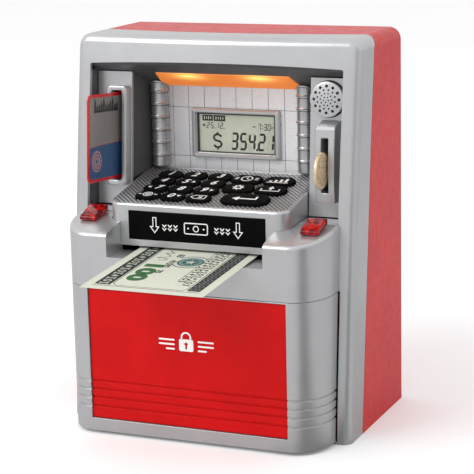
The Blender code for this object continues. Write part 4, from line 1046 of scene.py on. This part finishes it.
def sign_target(shape, plane):
    shape.ring(plane, 0, 0, 2.5, 0.5)
    shape.ring(plane, 0, 0, 1.3, 0.5)
    shape.disc(plane, 0, 0, 0.5)
    for a in (-4.4, 4.4):
        shape.prism(plane, rectangle(1.8, 0.7, a, 0))


def sign_clear(shape, plane):
    outline = [(-4.2, 0.0), (-2.0, 2.1), (4.0, 2.1), (4.0, -2.1), (-2.0, -2.1)]
    shape.ribbon(plane, outline, 0.5, closed=True)
    shape.ribbon(plane, [(0.2, -1.0), (2.2, 1.0)], 0.6)
    shape.ribbon(plane, [(0.2, 1.0), (2.2, -1.0)], 0.6, 0.0, INK * 1.1)


def sign_clock(shape, plane):
    shape.ring(plane, 0, 0, 3.0, 0.7)
    shape.ribbon(plane, [(0.0, 2.0), (0.0, 0.0), (1.5, -0.9)], 0.6)
    for a in (-5.6, 5.6):
        shape.prism(plane, rectangle(2.0, 0.8, a, 0.9))
        shape.prism(plane, rectangle(2.0, 0.8, a, -0.9))


def sign_balance(shape, plane):
    for i, tall in enumerate((1.6, 2.6, 3.6, 4.8)):
        shape.prism(plane, rectangle(1.6, tall, -4.2 + 2.8 * i, tall / 2 - 2.4))
    shape.prism(plane, rectangle(12.0, 0.6, 0, -3.2))


def sign_set(shape, plane):
    shape.ring(plane, 0, 0, 1.7, 1.0)
    for i in range(8):
        angle = math.pi / 4 * i
        path = [(r * math.cos(angle), r * math.sin(angle)) for r in (2.0, 3.1)]
        shape.ribbon(plane, path, 0.9)


def sign_withdraw(shape, plane):
    shape.ribbon(plane, [(-5.0, 0.4), (-5.0, -2.4), (5.0, -2.4), (5.0, 0.4)], 0.7)
    shape.prism(plane, rectangle(1.0, 2.4, 0, 0.0))
    arrow_head(shape, plane, 0.0, 2.0, 90, 1.7)


def sign_enter(shape, plane):
    shape.ribbon(plane, [(6.0, 2.6), (6.0, -0.6), (-3.4, -0.6)], 1.1)
    arrow_head(shape, plane, -5.0, -0.6, 180, 2.3)


KEY_SIGNS = {
    "target": sign_target,
    "clear": sign_clear,
    "clock": sign_clock,
    "balance": sign_balance,
    "set": sign_set,
    "withdraw": sign_withdraw,
    "enter": sign_enter,
}


def rib_section():
    """Cross-section of a deck rib, from its left foot over its crest to its right foot."""
    foot, crest = RIB_WIDE / 2, RIB_WIDE / 2 * 0.4
    right = ((foot, -0.1), (foot, 0.05), (crest, RIB_HIGH))
    return ((-foot, -0.1), *right, (-crest, RIB_HIGH), (-foot, 0.05))


def deck_ribs():
    """Fine slanting ribs over a ground darkened with painted shade, clear of the keys and of the deck's lip."""
    plane = deck_plane()
    low, high = box_of("console_housing")
    body = body_of_node("console_housing")
    wide = high.x - low.x - 2 * DECK_MARGIN
    long = (high.y - low.y) / -PRESS.z - 2 * DECK_MARGIN
    middle = -long / 2 - DECK_MARGIN
    outline = rounded(wide, long, 5.4, 6, 0.0, middle)
    holes = Shape()
    for node in key_nodes():
        key_plane, key_wide, key_deep = key_frame(node)
        hole = key_outline(key_wide, key_deep, -KEY_CLEARANCE)
        holes.loft([[key_plane.at(a, b, lift) for a, b in hole] for lift in (-2.0, 3.0)])
    ground = Shape()
    ground.prism(plane, outline, -0.2, 0.06)
    flat = boolean(ground.mesh("ground"), holes.mesh("holes"), "DIFFERENCE")
    dress(flat, "deck_ground", "deck_painted_shade", body, (), "silver_plastic")
    ribs = Shape()
    reach = wide + long
    slant = math.radians(RIB_SLANT)
    along = Vector((math.cos(slant), math.sin(slant)))
    across = Vector((-along.y, along.x))
    steps = int(reach / RIB_PITCH)
    for i in range(-steps // 2, steps // 2 + 1):
        line = Vector((0.0, middle)) + across * (i * RIB_PITCH)
        rings = []
        for end in (-reach / 2, reach / 2):
            base = line + along * end
            points = [(base + across * shift, lift) for shift, lift in rib_section()]
            rings.append([plane.at(point.x, point.y, lift) for point, lift in points])
        ribs.loft(rings)
    region = Shape()
    region.prism(plane, outline, -0.05, 1.2)
    open_region = boolean(region.mesh("region"), holes.mesh("holes"), "DIFFERENCE")
    cut = boolean(ribs.mesh("ribs"), open_region, "INTERSECT")
    dress(cut, "deck_ribs", "silver", body, (), "silver_plastic")


# -------------------------------------------------------------- slot sign


def slot_sign_marks():
    """Signs on the black plate: a note between chevrons and two arrows."""
    low, high = box_of("slot_sign")
    plane = front_plane((low.x + high.x) / 2, low.y, (low.z + high.z) / 2)
    shape = Shape()
    shape.ribbon(plane, rounded(13.0, 5.6, 0.8, 3), 0.55, closed=True)
    shape.ring(plane, 0.0, 0.0, 1.45, 0.5, steps=20)
    for side in (-1, 1):
        shape.disc(plane, side * 4.4, 0.0, 0.45, steps=12)
        for step in range(3):
            a = side * (11.5 + step * 3.2)
            shape.ribbon(plane, [(a - 1.1, 1.2), (a, 0.0), (a + 1.1, 1.2)], 0.55)
            shape.ribbon(plane, [(a - 1.1, -0.6), (a, -1.8), (a + 1.1, -0.6)], 0.55)
        pointer(shape, plane, side * 23.5, 0.4)
    shape.piece("slot_sign_marks", "mark", body_of_node("slot_sign"), (), "black_gloss")


def pointer(shape, plane, a, b):
    """Outlined arrow pointing down to the note slot."""
    outline = [(-0.9, 4.2), (0.9, 4.2), (0.9, -0.6), (2.4, -0.6), (0.0, -3.8), (-2.4, -0.6), (-0.9, -0.6)]
    shape.ribbon(plane, [(a + x, b + y) for x, y in outline], 0.45, closed=True)


# ------------------------------------------------------- card, coin, speaker


def along_panel(node):
    """A node's extent up the leaning panel and out of it."""
    corners = [vertex.co / MM for vertex in frame["nodes"][node].data.vertices]
    ups = [corner.dot(PANEL_UP) for corner in corners]
    outs = [corner.dot(OUT) for corner in corners]
    return min(ups), max(ups), min(outs), max(outs)


CARD_SURROUND = (12.6, 54.0)
CARD_OPENING = (6.0, 47.8)
CARD_PROUD = 5.0
NECK_DEPTH = 5.0


def card_surround():
    """Rounded surround of the card slot, lined in black for painted shade inside the slot."""
    node = "card_slot_bezel"
    low_up, high_up, low_out, high_out = along_panel(node)
    centre = middle_of(node)
    up = (low_up + high_up) / 2
    face = high_out - CARD_PROUD
    origin = Vector((centre.x, 0, 0)) + PANEL_UP * up + OUT * face
    plane = Plane(origin, (1, 0, 0), PANEL_UP)
    shape = Shape()
    outer = rounded(*CARD_SURROUND, 2.4, 6)
    inner = rounded(*CARD_OPENING, 1.2, 6)
    levels = ((0.0, 0.3), (0.0, 3.4), (0.06, 4.2), (0.18, 4.75), (0.36, 5.0), (0.70, 5.0))
    levels += ((0.90, 4.8), (1.0, 4.2), (1.0, 0.3))
    framed(shape, plane, outer, inner, levels)
    shape.piece("card_surround", "silver", body_of_node(node), (node,))
    # painted shade: the slot's inner walls are black where they only lie in shade
    throat_shade = Shape()
    neck = rounded(CARD_OPENING[0] + 2.0, CARD_OPENING[1] + 2.0, 1.4, 6)
    framed(throat_shade, plane, neck, inner, ((0.1, -NECK_DEPTH), (0.1, 0.25), (1.0, 0.25), (1.0, -NECK_DEPTH)))
    throat_shade.piece("card_throat_shade", "black", body_of_node(node), (), "dark_plastic")


def card():
    """Laminated bank card: red core and rim, grey and blue faces, and a rosette."""
    low_up, high_up, low_out, high_out = along_panel("play_card")
    low, high = box_of("play_card")
    body = body_of_node("play_card")
    thick = high.x - low.x
    tall, long = high_up - low_up, high_out - low_out
    origin = Vector((low.x + thick / 2, 0, 0)) + PANEL_UP * ((low_up + high_up) / 2)
    origin += OUT * ((low_out + high_out) / 2)
    core = Shape()
    right = Plane(origin, -OUT, PANEL_UP)
    edge = 0.25
    outline_full = rounded(long, tall, 3.2, 8)
    outline_trim = rounded(long - 2 * edge, tall - 2 * edge, 3.2 - edge, 8)
    half = thick / 2 - INK
    rings = []
    for outline, lift in (
        (outline_trim, -half),
        (outline_full, -half + edge),
        (outline_full, half - edge),
        (outline_trim, half),
    ):
        rings.append([right.at(a, b, lift) for a, b in outline])
    core.loft(rings)
    core.piece("card_core", "card_red", body, ("play_card",))
    left = Plane(origin, OUT, PANEL_UP)
    grey, blue, rose, ink = Shape(), Shape(), Shape(), Shape()
    for face in (right, left):
        card_face(face.moved(lift=half), long, tall, grey, blue, rose, ink, face is right)
    grey.piece("card_upper_print", "card_grey", body, (), "card_print")
    blue.piece("card_lower_print", "card_blue", body, (), "card_print")
    rose.piece("card_rosette", "card_rose", body, (), "card_print")
    ink.piece("card_script", "card_ink", body, (), "card_print")


def card_face(face, long, tall, grey, blue, rose, ink, starts_left):
    """Prints one side of the card. The end that stays outside is at the left of one side."""
    rim = 1.8
    a, b = long / 2 - rim, tall / 2 - rim
    split = -tall * 0.10
    wave = []
    for step in range(13):
        share = step / 12
        wave.append((-a + 2 * a * share, split + 1.1 * math.sin(math.pi * share)))
    corner = [(x, y) for x, y in arc(1.8, 0, 90, 4)]
    top = [(a - 1.8 + x, b - 1.8 + y) for x, y in corner]
    top += [(-a + 1.8 - y, b - 1.8 + x) for x, y in corner]
    grey.prism(face, [(x, y + 0.25) for x, y in wave] + top)
    bottom = [(-a + 1.8 - x, -b + 1.8 - y) for x, y in corner]
    bottom += [(a - 1.8 + y, -b + 1.8 - x) for x, y in corner]
    blue.prism(face, bottom + list(reversed(wave)))
    side = -1 if starts_left else 1
    centre = side * (long / 2 - 9.6), -tall / 2 + 11.0
    for radius in (1.7, 3.4, 5.2):
        rose.ring(face, *centre, radius, 0.8, INK, 2 * INK, 28)
    for i in range(12):
        angle = 2 * math.pi * i / 12
        path = [(centre[0] + r * math.cos(angle), centre[1] + r * math.sin(angle)) for r in (1.2, 5.8)]
        rose.ribbon(face, path, 0.45, INK, 2.2 * INK)
    start = -(long / 2 - 7.0) if starts_left else long / 2 - 7.0 - 26.0
    for i in range(11):
        x = start + 2.5 * i
        tall_here = (6.4, 3.2, 3.6, 4.8)[i % 4]
        loop = [(x, b - 7.6), (x + 0.5, b - 7.6 + tall_here), (x + 1.3, b - 7.4 + tall_here * 0.7)]
        loop += [(x + 1.0, b - 7.4), (x + 2.4, b - 7.2)]
        ink.ribbon(face, loop, 0.95, INK, (2.0 + 0.02 * i) * INK)


COIN_RIM = 1.1
LEAF = ((-0.75, 0.0), (-0.2, 0.3), (0.35, 0.2), (0.8, 0.0), (0.35, -0.2), (-0.2, -0.3))


def coin():
    """Play coin with a raised rim, a beaded ring, a star and a wreath on both sides."""
    node = "play_coin"
    low_up, high_up, low_out, high_out = along_panel(node)
    low, high = box_of(node)
    radius, thick = (high_up - low_up) / 2, high.x - low.x
    origin = Vector(((low.x + high.x) / 2, 0, 0)) + PANEL_UP * ((low_up + high_up) / 2)
    origin += OUT * ((low_out + high_out) / 2)
    shape = Shape()
    plane = Plane(origin, -OUT, PANEL_UP)
    half = thick / 2
    sunk = half - 0.22
    rings = []
    for r, lift, teeth in (
        (radius - COIN_RIM - 0.15, -sunk, 0.0),
        (radius - COIN_RIM, -half, 0.0),
        (radius - 0.2, -half, 0.0),
        (radius, -half + 0.2, 0.12),
        (radius, half - 0.2, 0.12),
        (radius - 0.2, half, 0.0),
        (radius - COIN_RIM, half, 0.0),
        (radius - COIN_RIM - 0.15, sunk, 0.0),
    ):
        rings.append([plane.at(a, b, lift) for a, b in spiked(96, r, r - teeth)])
    shape.loft(rings)
    for face in (plane, Plane(origin, OUT, PANEL_UP)):
        coin_relief(shape, face, radius, sunk)
    shape.piece("coin_struck", "coin", body_of_node(node), (node,))


def coin_relief(shape, face, radius, sunk):
    low, high = sunk - 0.05, sunk + 0.2
    for a, b in circle(radius - 1.9, 32):
        shape.disc(face, a, b, 0.3, low, high, 6)
    shape.prism(face, spiked(10, 3.0, 1.3, 0.0, 0.6, math.pi / 2), low, high)
    for side in (-1, 1):
        stem = [(side * x, y) for x, y in arc(radius - 4.0, -80, 42, 14)]
        shape.ribbon(face, stem, 0.45, low, high)
        for i in range(6):
            angle = math.radians(-66 + 19 * i)
            for reach, turn in ((radius - 3.4, 0.5), (radius - 4.7, -0.5)):
                a, b = reach * math.cos(angle), reach * math.sin(angle)
                leaf = turned(LEAF, a, b, angle + math.pi / 2 - turn)
                shape.prism(face, [(side * x, y) for x, y in leaf], low, high - 0.02)


SPEAKER_HOLES = ((6.8, 12, 0.80), (4.9, 12, 0.50), (3.1, 10, 0.42), (1.4, 5, 0.36))


def speaker():
    """Domed grille with rings of sound holes, dark inside."""
    node = "speaker_grille"
    low_up, high_up, low_out, high_out = along_panel(node)
    radius = (high_up - low_up) / 2
    origin = Vector((middle_of(node).x, 0, 0)) + PANEL_UP * ((low_up + high_up) / 2) + OUT * low_out
    plane = Plane(origin, (1, 0, 0), PANEL_UP)
    deep = high_out - low_out
    dome = Shape()
    profile = [(radius - 0.6, 0.0), (radius - 0.6, deep - 2.4), (radius, deep - 2.0), (radius, deep - 1.35)]
    profile += [(radius - 0.25, deep - 1.0), (radius - 0.8, deep - 0.85), (radius - 1.4, deep - 0.72)]
    profile += [(5.2, deep - 0.4), (3.2, deep - 0.18), (1.6, deep - 0.05), (0.6, deep)]
    rings = [[plane.at(a * r, b * r, lift) for a, b in circle(1.0, 64)] for r, lift in profile]
    dome.loft(rings)
    drills, floors = Shape(), Shape()
    for index, (reach, count, hole) in enumerate(SPEAKER_HOLES):
        for a, b in circle(reach, count, 0.3 * index):
            drills.disc(plane, a, b, hole, deep - 2.2, deep + 1.0, 12)
            floors.disc(plane, a, b, 0.96 * hole, deep - 2.19, deep - 1.6, 12)
    mesh = boolean(dome.mesh("dome"), drills.mesh("drills"), "DIFFERENCE")
    dress(mesh, "speaker_dome", "silver", body_of_node(node), (node,))
    floors.piece("speaker_hole_floors", "black", body_of_node(node), (), "dark_plastic")


# ------------------------------------------------------- lamp and red lenses


def lamp():
    """Orange diffuser with fine ribs along it."""
    source = frame["nodes"]["lamp_lens"].data
    low, high = box_of("lamp_lens")
    corners = {tuple(round(c / MM, 3) for c in vertex.co) for vertex in source.vertices}
    front = [c for c in corners if abs(c[1] - low.y) < 0.01]
    rear = [c for c in corners if abs(c[1] - high.y) < 0.01]
    front_half, rear_half = max(c[0] for c in front), max(c[0] for c in rear)
    front_low, rear_low = min(c[2] for c in front), min(c[2] for c in rear)
    thick = max(c[2] for c in front) - front_low
    ribs = 16
    section = []
    for i in range(ribs * 2 + 1):
        share = i / (ribs * 2)
        lift = 0.0 if i % 2 == 0 else 0.22
        section.append((share, lift))
    rings = []
    for side in (-1, 1):
        ring = []
        for share, lift in section:
            half = front_half + (rear_half - front_half) * share
            y = low.y + (high.y - low.y) * share
            z = front_low + (rear_low - front_low) * share
            ring.append((side * half, y, z + lift))
        for share in (1.0, 0.0):
            half = front_half + (rear_half - front_half) * share
            y = low.y + (high.y - low.y) * share
            z = front_low + (rear_low - front_low) * share + thick
            ring.append((side * half, y, z))
        rings.append(ring)
    shape = Shape()
    shape.loft(rings)
    shape.piece("lamp_diffuser", "lamp", body_of_node("lamp_lens"), ("lamp_lens",))


def red_lens(node):
    """Clear red wedge with soft edges and an oval dimple in its top."""
    low, high = box_of(node)
    middle = (low + high) / 2
    tool = Shape()
    rings = []
    for level in range(-4, 5):
        share = math.radians(level * 20)
        z = high.z + 0.7 + 1.6 * math.sin(share)
        reach = max(math.cos(share), 0.05)
        ring = circle(reach, 28)
        rings.append([(middle.x + 2.5 * a, middle.y + 1.0 + 4.0 * b, z) for a, b in ring])
    tool.loft(rings)
    mesh = boolean(cleaned(node, node), tool.mesh("dimple"), "DIFFERENCE")
    obj = dress(mesh, f"{node}_jewel", "lens", body_of_node(node), (node,))
    soften_edges(obj, 0.6, 3)


# -------------------------------------------------------------- door emblem


def door_emblem():
    """Generic white padlock between two sets of bars, printed on the door."""
    low, high = box_of("door_panel")
    plane = front_plane(0.0, low.y, low.z + (high.z - low.z) * 0.66)
    shape = Shape()
    shape.prism(plane, rounded(8.0, 6.4, 0.9, 4, 0.0, -2.2))
    path = [(2.5, 0.8)] + [(x, y + 2.0) for x, y in arc(2.5, 0, 180, 14)] + [(-2.5, 0.8)]
    shape.ribbon(plane, path, 0.9)
    for side in (-1, 1):
        for row, wide in ((0.2, 9.0), (-2.2, 9.0), (-4.6, 5.0)):
            centre = side * (6.5 + wide / 2)
            shape.prism(plane, rounded(wide, 0.9, 0.4, 3, centre, row))
    shape.piece("door_emblem", "mark", body_of_node("door_panel"), (), "red_panel")
    keyhole = Shape()
    keyhole.disc(plane, 0.0, -1.6, 0.95, INK, 2 * INK, 20)
    keyhole.prism(plane, [(-0.35, -1.8), (0.35, -1.8), (0.6, -4.2), (-0.6, -4.2)], INK, 2.1 * INK)
    keyhole.piece("door_keyhole", "panel_red", body_of_node("door_panel"), (), "red_panel")


# ------------------------------------------------------------------ banknote


NOTE_MARGIN = 4.7  # bare paper round the print
SEAL_CENTRE = (4.0, 50.5)


def banknote():
    """Play note: cream paper with a generic border, seal, rosette and figures."""
    node = "play_banknote"
    body = body_of_node(node)
    corners = [vertex.co / MM for vertex in frame["nodes"][node].data.vertices]
    normal = Vector((0.0, -NOTE_IN.z, NOTE_IN.y))
    inward = [c.dot(NOTE_IN) for c in corners]
    lifts = [c.dot(normal) for c in corners]
    low, high = box_of(node)
    wide, long = high.x - low.x, max(inward) - min(inward)
    origin = NOTE_IN * min(inward) + normal * ((max(lifts) + min(lifts)) / 2)
    plane = Plane(origin, (1, 0, 0), NOTE_IN)
    sheet = Shape()
    thick = 0.09
    sheet.prism(plane, [(-wide / 2, 0), (wide / 2, 0), (wide / 2, long), (-wide / 2, long)], -thick, thick)
    sheet.piece("note_sheet", "paper", body, (node,))
    over = Plane(plane.at(0, 0, thick), plane.u, plane.v)
    dark, green, teal, grey, pale = Shape(), Shape(), Shape(), Shape(), Shape()
    note_border(dark, grey, pale, over, wide, long)
    note_figures(green, dark, over)
    note_columns(dark, over, long)
    note_seal(teal, grey, pale, over)
    note_rosette(green, over)
    grey.piece("note_grey_print", "note_grey", body, (), "paper")
    pale.piece("note_unprinted_marks", "note_pale", body, (), "paper")
    dark.piece("note_border_print", "ink_dark", body, (), "paper")
    green.piece("note_figure_print", "ink_green", body, (), "paper")
    teal.piece("note_seal_print", "ink_teal", body, (), "paper")


def note_ornament(shape, plane, a, b, count, pitch, tall, lift=0.0):
    """A row of capped bars, rings and lozenges, running back along the note."""
    for i in range(count):
        here = b + i * pitch
        top = lift + BANKNOTE_INK
        if i % 4 == 1:
            ring = [(a + 0.40 * tall * x, here + 0.34 * pitch * y) for x, y in circle(1.0, 12)]
            shape.ribbon(plane, ring, 0.2 * pitch, lift, top, True)
        elif i % 4 == 3:
            lozenge = [(a + 0.46 * tall * x, here + 0.36 * pitch * y) for x, y in circle(1.0, 4)]
            shape.prism(plane, lozenge, lift, top)
        else:
            shape.prism(plane, rectangle(tall, 0.26 * pitch, a, here), lift, top)
            for side in (-1, 1):
                cap = rectangle(0.15 * tall, 0.66 * pitch, a + side * 0.44 * tall, here)
                shape.prism(plane, cap, lift, top + 0.1 * BANKNOTE_INK)


def note_border(dark, grey, pale, plane, wide, long):
    """Dark bands with ornaments down both sides, and a thin line across each end."""
    margin = NOTE_MARGIN
    half = wide / 2
    for b in (margin + 0.5, long - margin - 0.5):
        dark.prism(plane, rectangle(wide - 2 * margin, 0.5, 0.0, b), 0.0, BANKNOTE_INK)
    low, high = margin + 2.2, long - margin - 2.2
    left = -half + margin
    dark.prism(plane, rectangle(8.4, high - low, left + 4.2, (low + high) / 2), 0.0, BANKNOTE_INK)
    note_ornament(pale, plane, left + 4.2, low + 2.2, 24, 4.0, 4.8, BANKNOTE_INK)
    right = half - margin
    dark.prism(plane, rectangle(6.8, high - low, right - 3.4, (low + high) / 2), 0.0, BANKNOTE_INK)
    field = rounded(right - left - 16.8, high - low, 4.0, 6, (left + 9.2 + right - 7.6) / 2, (low + high) / 2)
    dark.ribbon(plane, field, 0.4, 0.0, 0.9 * BANKNOTE_INK, True)
    for i in range(int((high - low) / 5.0)):
        b = low + 2.6 + 5.0 * i
        oval = [(right - 3.4 + 2.4 * x, b + 1.8 * y) for x, y in circle(1.0, 20)]
        grey.ribbon(plane, oval, 0.4, BANKNOTE_INK, 2 * BANKNOTE_INK, True)
        grey.disc(plane, right - 3.4, b, 0.6, BANKNOTE_INK, 2 * BANKNOTE_INK, 14)


def note_figures(green, dark, plane):
    """The value, turned to read along the note, and the number beside it."""
    turned = Plane(plane.at(-12.4, 31.0, 0), -plane.v, plane.u)
    figure = Shape()
    figure.words(Plane((0, 0, 0), (1, 0, 0), (0, 1, 0)), "100", 11.4, BANKNOTE_INK, 0.75)
    points = [turned.at(1.75 * p.x, 1.10 * p.y, p.z) for p in figure.points]
    green.solid(points, figure.faces)
    number = Plane(plane.at(-5.6, 46.0, 0), -plane.v, plane.u)
    for i, word in enumerate(("70", "41592", "63")):
        dark.words(number.moved(13.5 - 13.0 * i - 1.0 * (i == 2)), word, 5.0, BANKNOTE_INK, 0.2)


def note_columns(dark, plane, long):
    """Rows of ornaments towards the right side, and a made-up signature."""
    for a, b, tall in ((13.4, 20.0, 3.6), (17.7, 15.0, 3.2)):
        pitch = 0.9 * tall + 0.6
        note_ornament(dark, plane, a, b, int((long - 2 * b) / pitch), pitch, tall)
        rule = [(a - 0.75 * tall, b), (a - 0.75 * tall, long - b)]
        dark.ribbon(plane, rule, 0.35, 0.0, 0.8 * BANKNOTE_INK)
    stroke = []
    for i in range(40):
        share = i / 39
        sway = (3.2 - 1.8 * share) * math.sin(16.0 * share) + 0.9 * math.sin(31.0 * share)
        stroke.append((-13.5 + sway, 50.0 + 17.0 * share + 1.4 * math.sin(13.0 * share)))
    dark.ribbon(plane, stroke, 0.5, 0.0, 0.7 * BANKNOTE_INK)


def note_seal(teal, grey, pale, plane):
    """Round seal with a toothed rim and a star, inside a broken grey ring."""
    centre = SEAL_CENTRE
    teal.prism(plane, spiked(56, 6.7, 7.4, *centre), 0.0, BANKNOTE_INK)
    pale.ring(plane, *centre, 5.6, 0.35, BANKNOTE_INK, 2 * BANKNOTE_INK, 36)
    for x, y in circle(4.6, 18):
        pale.disc(plane, centre[0] + x, centre[1] + y, 0.36, BANKNOTE_INK, 2 * BANKNOTE_INK, 8)
    star = spiked(10, 3.4, 1.5, *centre, math.pi / 2)
    pale.prism(plane, star, BANKNOTE_INK, 2 * BANKNOTE_INK)
    for start in (35, 215):
        bow = [(centre[0] + x, centre[1] + y) for x, y in arc(9.2, start, start + 110, 24)]
        grey.ribbon(plane, bow, 1.1, 0.0, BANKNOTE_INK)


def note_rosette(green, plane):
    """Woven rosette on the part of the note that the machine has already drawn in."""
    for layer in range(3):
        path = []
        for i in range(72):
            angle = 2 * math.pi * i / 72
            reach = 9.5 - 2.4 * layer + 1.3 * math.sin(9 * angle + layer)
            path.append((reach * math.cos(angle) - 1.0, 80.0 + reach * math.sin(angle)))
        green.ribbon(plane, path, 0.35, 0.0, BANKNOTE_INK * (1 + 0.1 * layer), True)


# ------------------------------------------------------------ rear and works


def rear_screws():
    """Pan-head screws with a cross recess."""
    for number in range(1, 5):
        node = f"case_screw_{number}"
        low, high = box_of(node)
        centre = (low + high) / 2
        plane = Plane((centre.x, high.y, centre.z), (-1, 0, 0), (0, 0, 1))
        head = (high.x - low.x) / 2
        long = high.y - low.y
        profile = [(0.5, -long), (1.1, -long + 1.2), (1.1, -1.3), (head, -1.3), (head, -0.8)]
        profile += [(head - 0.25, -0.4), (head - 0.8, -0.1), (0.9, 0.0)]
        shape = Shape()
        rings = [[plane.at(a * r, b * r, lift) for a, b in circle(1.0, 32)] for r, lift in profile]
        shape.loft(rings)
        cross = Shape()
        arm, half = 1.45, 0.26
        outline = [(half, arm), (half, half), (arm, half), (arm, -half), (half, -half), (half, -arm)]
        outline += [(-x, -y) for x, y in outline]
        cross.prism(plane, outline, -0.9, 0.5)
        mesh = boolean(shape.mesh("screw"), cross.mesh("cross"), "DIFFERENCE")
        dress(mesh, f"{node}_head", "steel", body_of_node(node), (node,))


def battery_door_marks():
    """Grip grooves and an arrow, sunk into the battery door."""
    low, high = box_of("battery_door")
    middle = (low.z + high.z) / 2
    plane = Plane((0.0, high.y, middle), (-1, 0, 0), (0, 0, 1))
    grooves = Shape()
    for i in range(5):
        grooves.prism(plane, rounded(18.0 - 2.0 * i, 1.1, 0.5, 3, 0.0, 12.0 - 2.4 * i), -0.5, 1.0)
    grooves.prism(plane, [(-3.0, -3.0), (3.0, -3.0), (0.0, -7.6)], -0.5, 1.0)
    skin = bpy.data.objects["battery_door_skin"]
    skin.data = boolean(skin.data, grooves.mesh("grooves"), "DIFFERENCE")
    skin.data.materials.clear()
    skin.data.materials.append(FINISHES["case_red"])


def plain_nodes():
    """Gives every node that is still shown the finish of its slot."""
    for name, node in frame["nodes"].items():
        if node.hide_render:
            continue
        node.data.materials.clear()
        node.data.materials.append(FINISHES[SLOT_FINISH[slot_of_node(name)]])


# -------------------------------------------------------------------- stage


CAMERA_PLACE = (369.89, -850.08, 303.04)
CAMERA_AZIMUTH, CAMERA_ELEVATION, CAMERA_ROLL = 23.19, 12.48, -1.285
CAMERA_LENS = 134.58
FLOOR_HALF = 6000.0
ROOM_STRENGTH = 0.87


def camera():
    data = bpy.data.cameras.new("camera")
    data.lens = CAMERA_LENS
    data.sensor_width = 36.0
    data.clip_start = 0.05
    data.clip_end = 50.0
    obj = bpy.data.objects.new("camera", data)
    azimuth, elevation = math.radians(CAMERA_AZIMUTH), math.radians(CAMERA_ELEVATION)
    back = Vector(
        (
            math.sin(azimuth) * math.cos(elevation),
            -math.cos(azimuth) * math.cos(elevation),
            math.sin(elevation),
        )
    )
    turn = back.to_track_quat("Z", "Y").to_matrix().to_4x4()
    roll = Matrix.Rotation(math.radians(CAMERA_ROLL), 4, "Z")
    obj.matrix_world = Matrix.Translation(Vector(CAMERA_PLACE) * MM) @ turn @ roll
    bpy.context.scene.collection.objects.link(obj)
    bpy.context.scene.camera = obj


def soft_light(name, place, target, size, power):
    data = bpy.data.lights.new(name, "AREA")
    data.shape = "RECTANGLE"
    data.size, data.size_y = size
    data.energy = power
    obj = bpy.data.objects.new(name, data)
    towards = Vector(target) - Vector(place)
    obj.rotation_mode = "QUATERNION"
    obj.rotation_quaternion = towards.to_track_quat("-Z", "Y")
    obj.location = place
    bpy.context.scene.collection.objects.link(obj)


def room():
    """A bright, even room. Reflections also see a painted dark reflection at the right, where nothing stands."""
    world = bpy.data.worlds.new("room")
    world.use_nodes = True
    graph = Graph("room_helper")
    graph.tree = world.node_tree
    graph.place = graph.tree.nodes.new("ShaderNodeTexCoord").outputs["Generated"]
    height = graph.axes()[2]
    rays = graph.rays()
    low_part = graph.span(height, 0.45, 0.75, 1.0, 0.0)
    # painted reflection: a dark patch low at the right, seen in reflections only
    painted_dark_reflection = graph.math("MULTIPLY", graph.painted_dark_reflection(), low_part)
    upward = graph.span(height, -0.1, 0.7, 0.82, 1.05)
    mirrored = graph.math("MULTIPLY", upward, graph.span(painted_dark_reflection, 0.0, 1.0, 1.0, 0.05))
    seen = graph.math("MAXIMUM", upward, graph.math("MULTIPLY", rays["Is Camera Ray"], 1.2))
    tone = graph.mix(rays["Is Glossy Ray"], graph.gray(seen), graph.gray(mirrored))
    sky = graph.tree.nodes["Background"]
    graph.tree.links.new(tone, sky.inputs["Color"])
    sky.inputs["Strength"].default_value = ROOM_STRENGTH
    bpy.context.scene.world = world
    bpy.data.materials.remove(graph.material)


def studio():
    """Pale floor, the room, and two large soft lights."""
    shape = Shape()
    shape.box((-FLOOR_HALF, -FLOOR_HALF, -20.0), (FLOOR_HALF, FLOOR_HALF, 0.0))
    mesh = shape.mesh("floor")
    mesh.materials.append(floor_finish())
    floor = bpy.data.objects.new("floor", mesh)
    bpy.context.scene.collection.objects.link(floor)
    room()
    soft_light("key_light", (-0.9, -1.1, 1.3), (0.0, 0.0, 0.1), (0.9, 0.9), 13.0)
    soft_light("fill_light", (1.3, -0.9, 0.5), (0.0, 0.0, 0.1), (0.7, 1.0), 0.8)
    bpy.context.scene.view_settings.view_transform = "Standard"


# ----------------------------------------------------------------- assembly


def build():
    shells()
    tile_wall()
    pillars()
    display()
    keys()
    deck_ribs()
    slot_sign_marks()
    card_surround()
    card()
    coin()
    speaker()
    lamp()
    red_lens("lens_left")
    red_lens("lens_right")
    door_emblem()
    banknote()
    rear_screws()
    battery_door_marks()
    plain_nodes()
    studio()
    camera()


build()
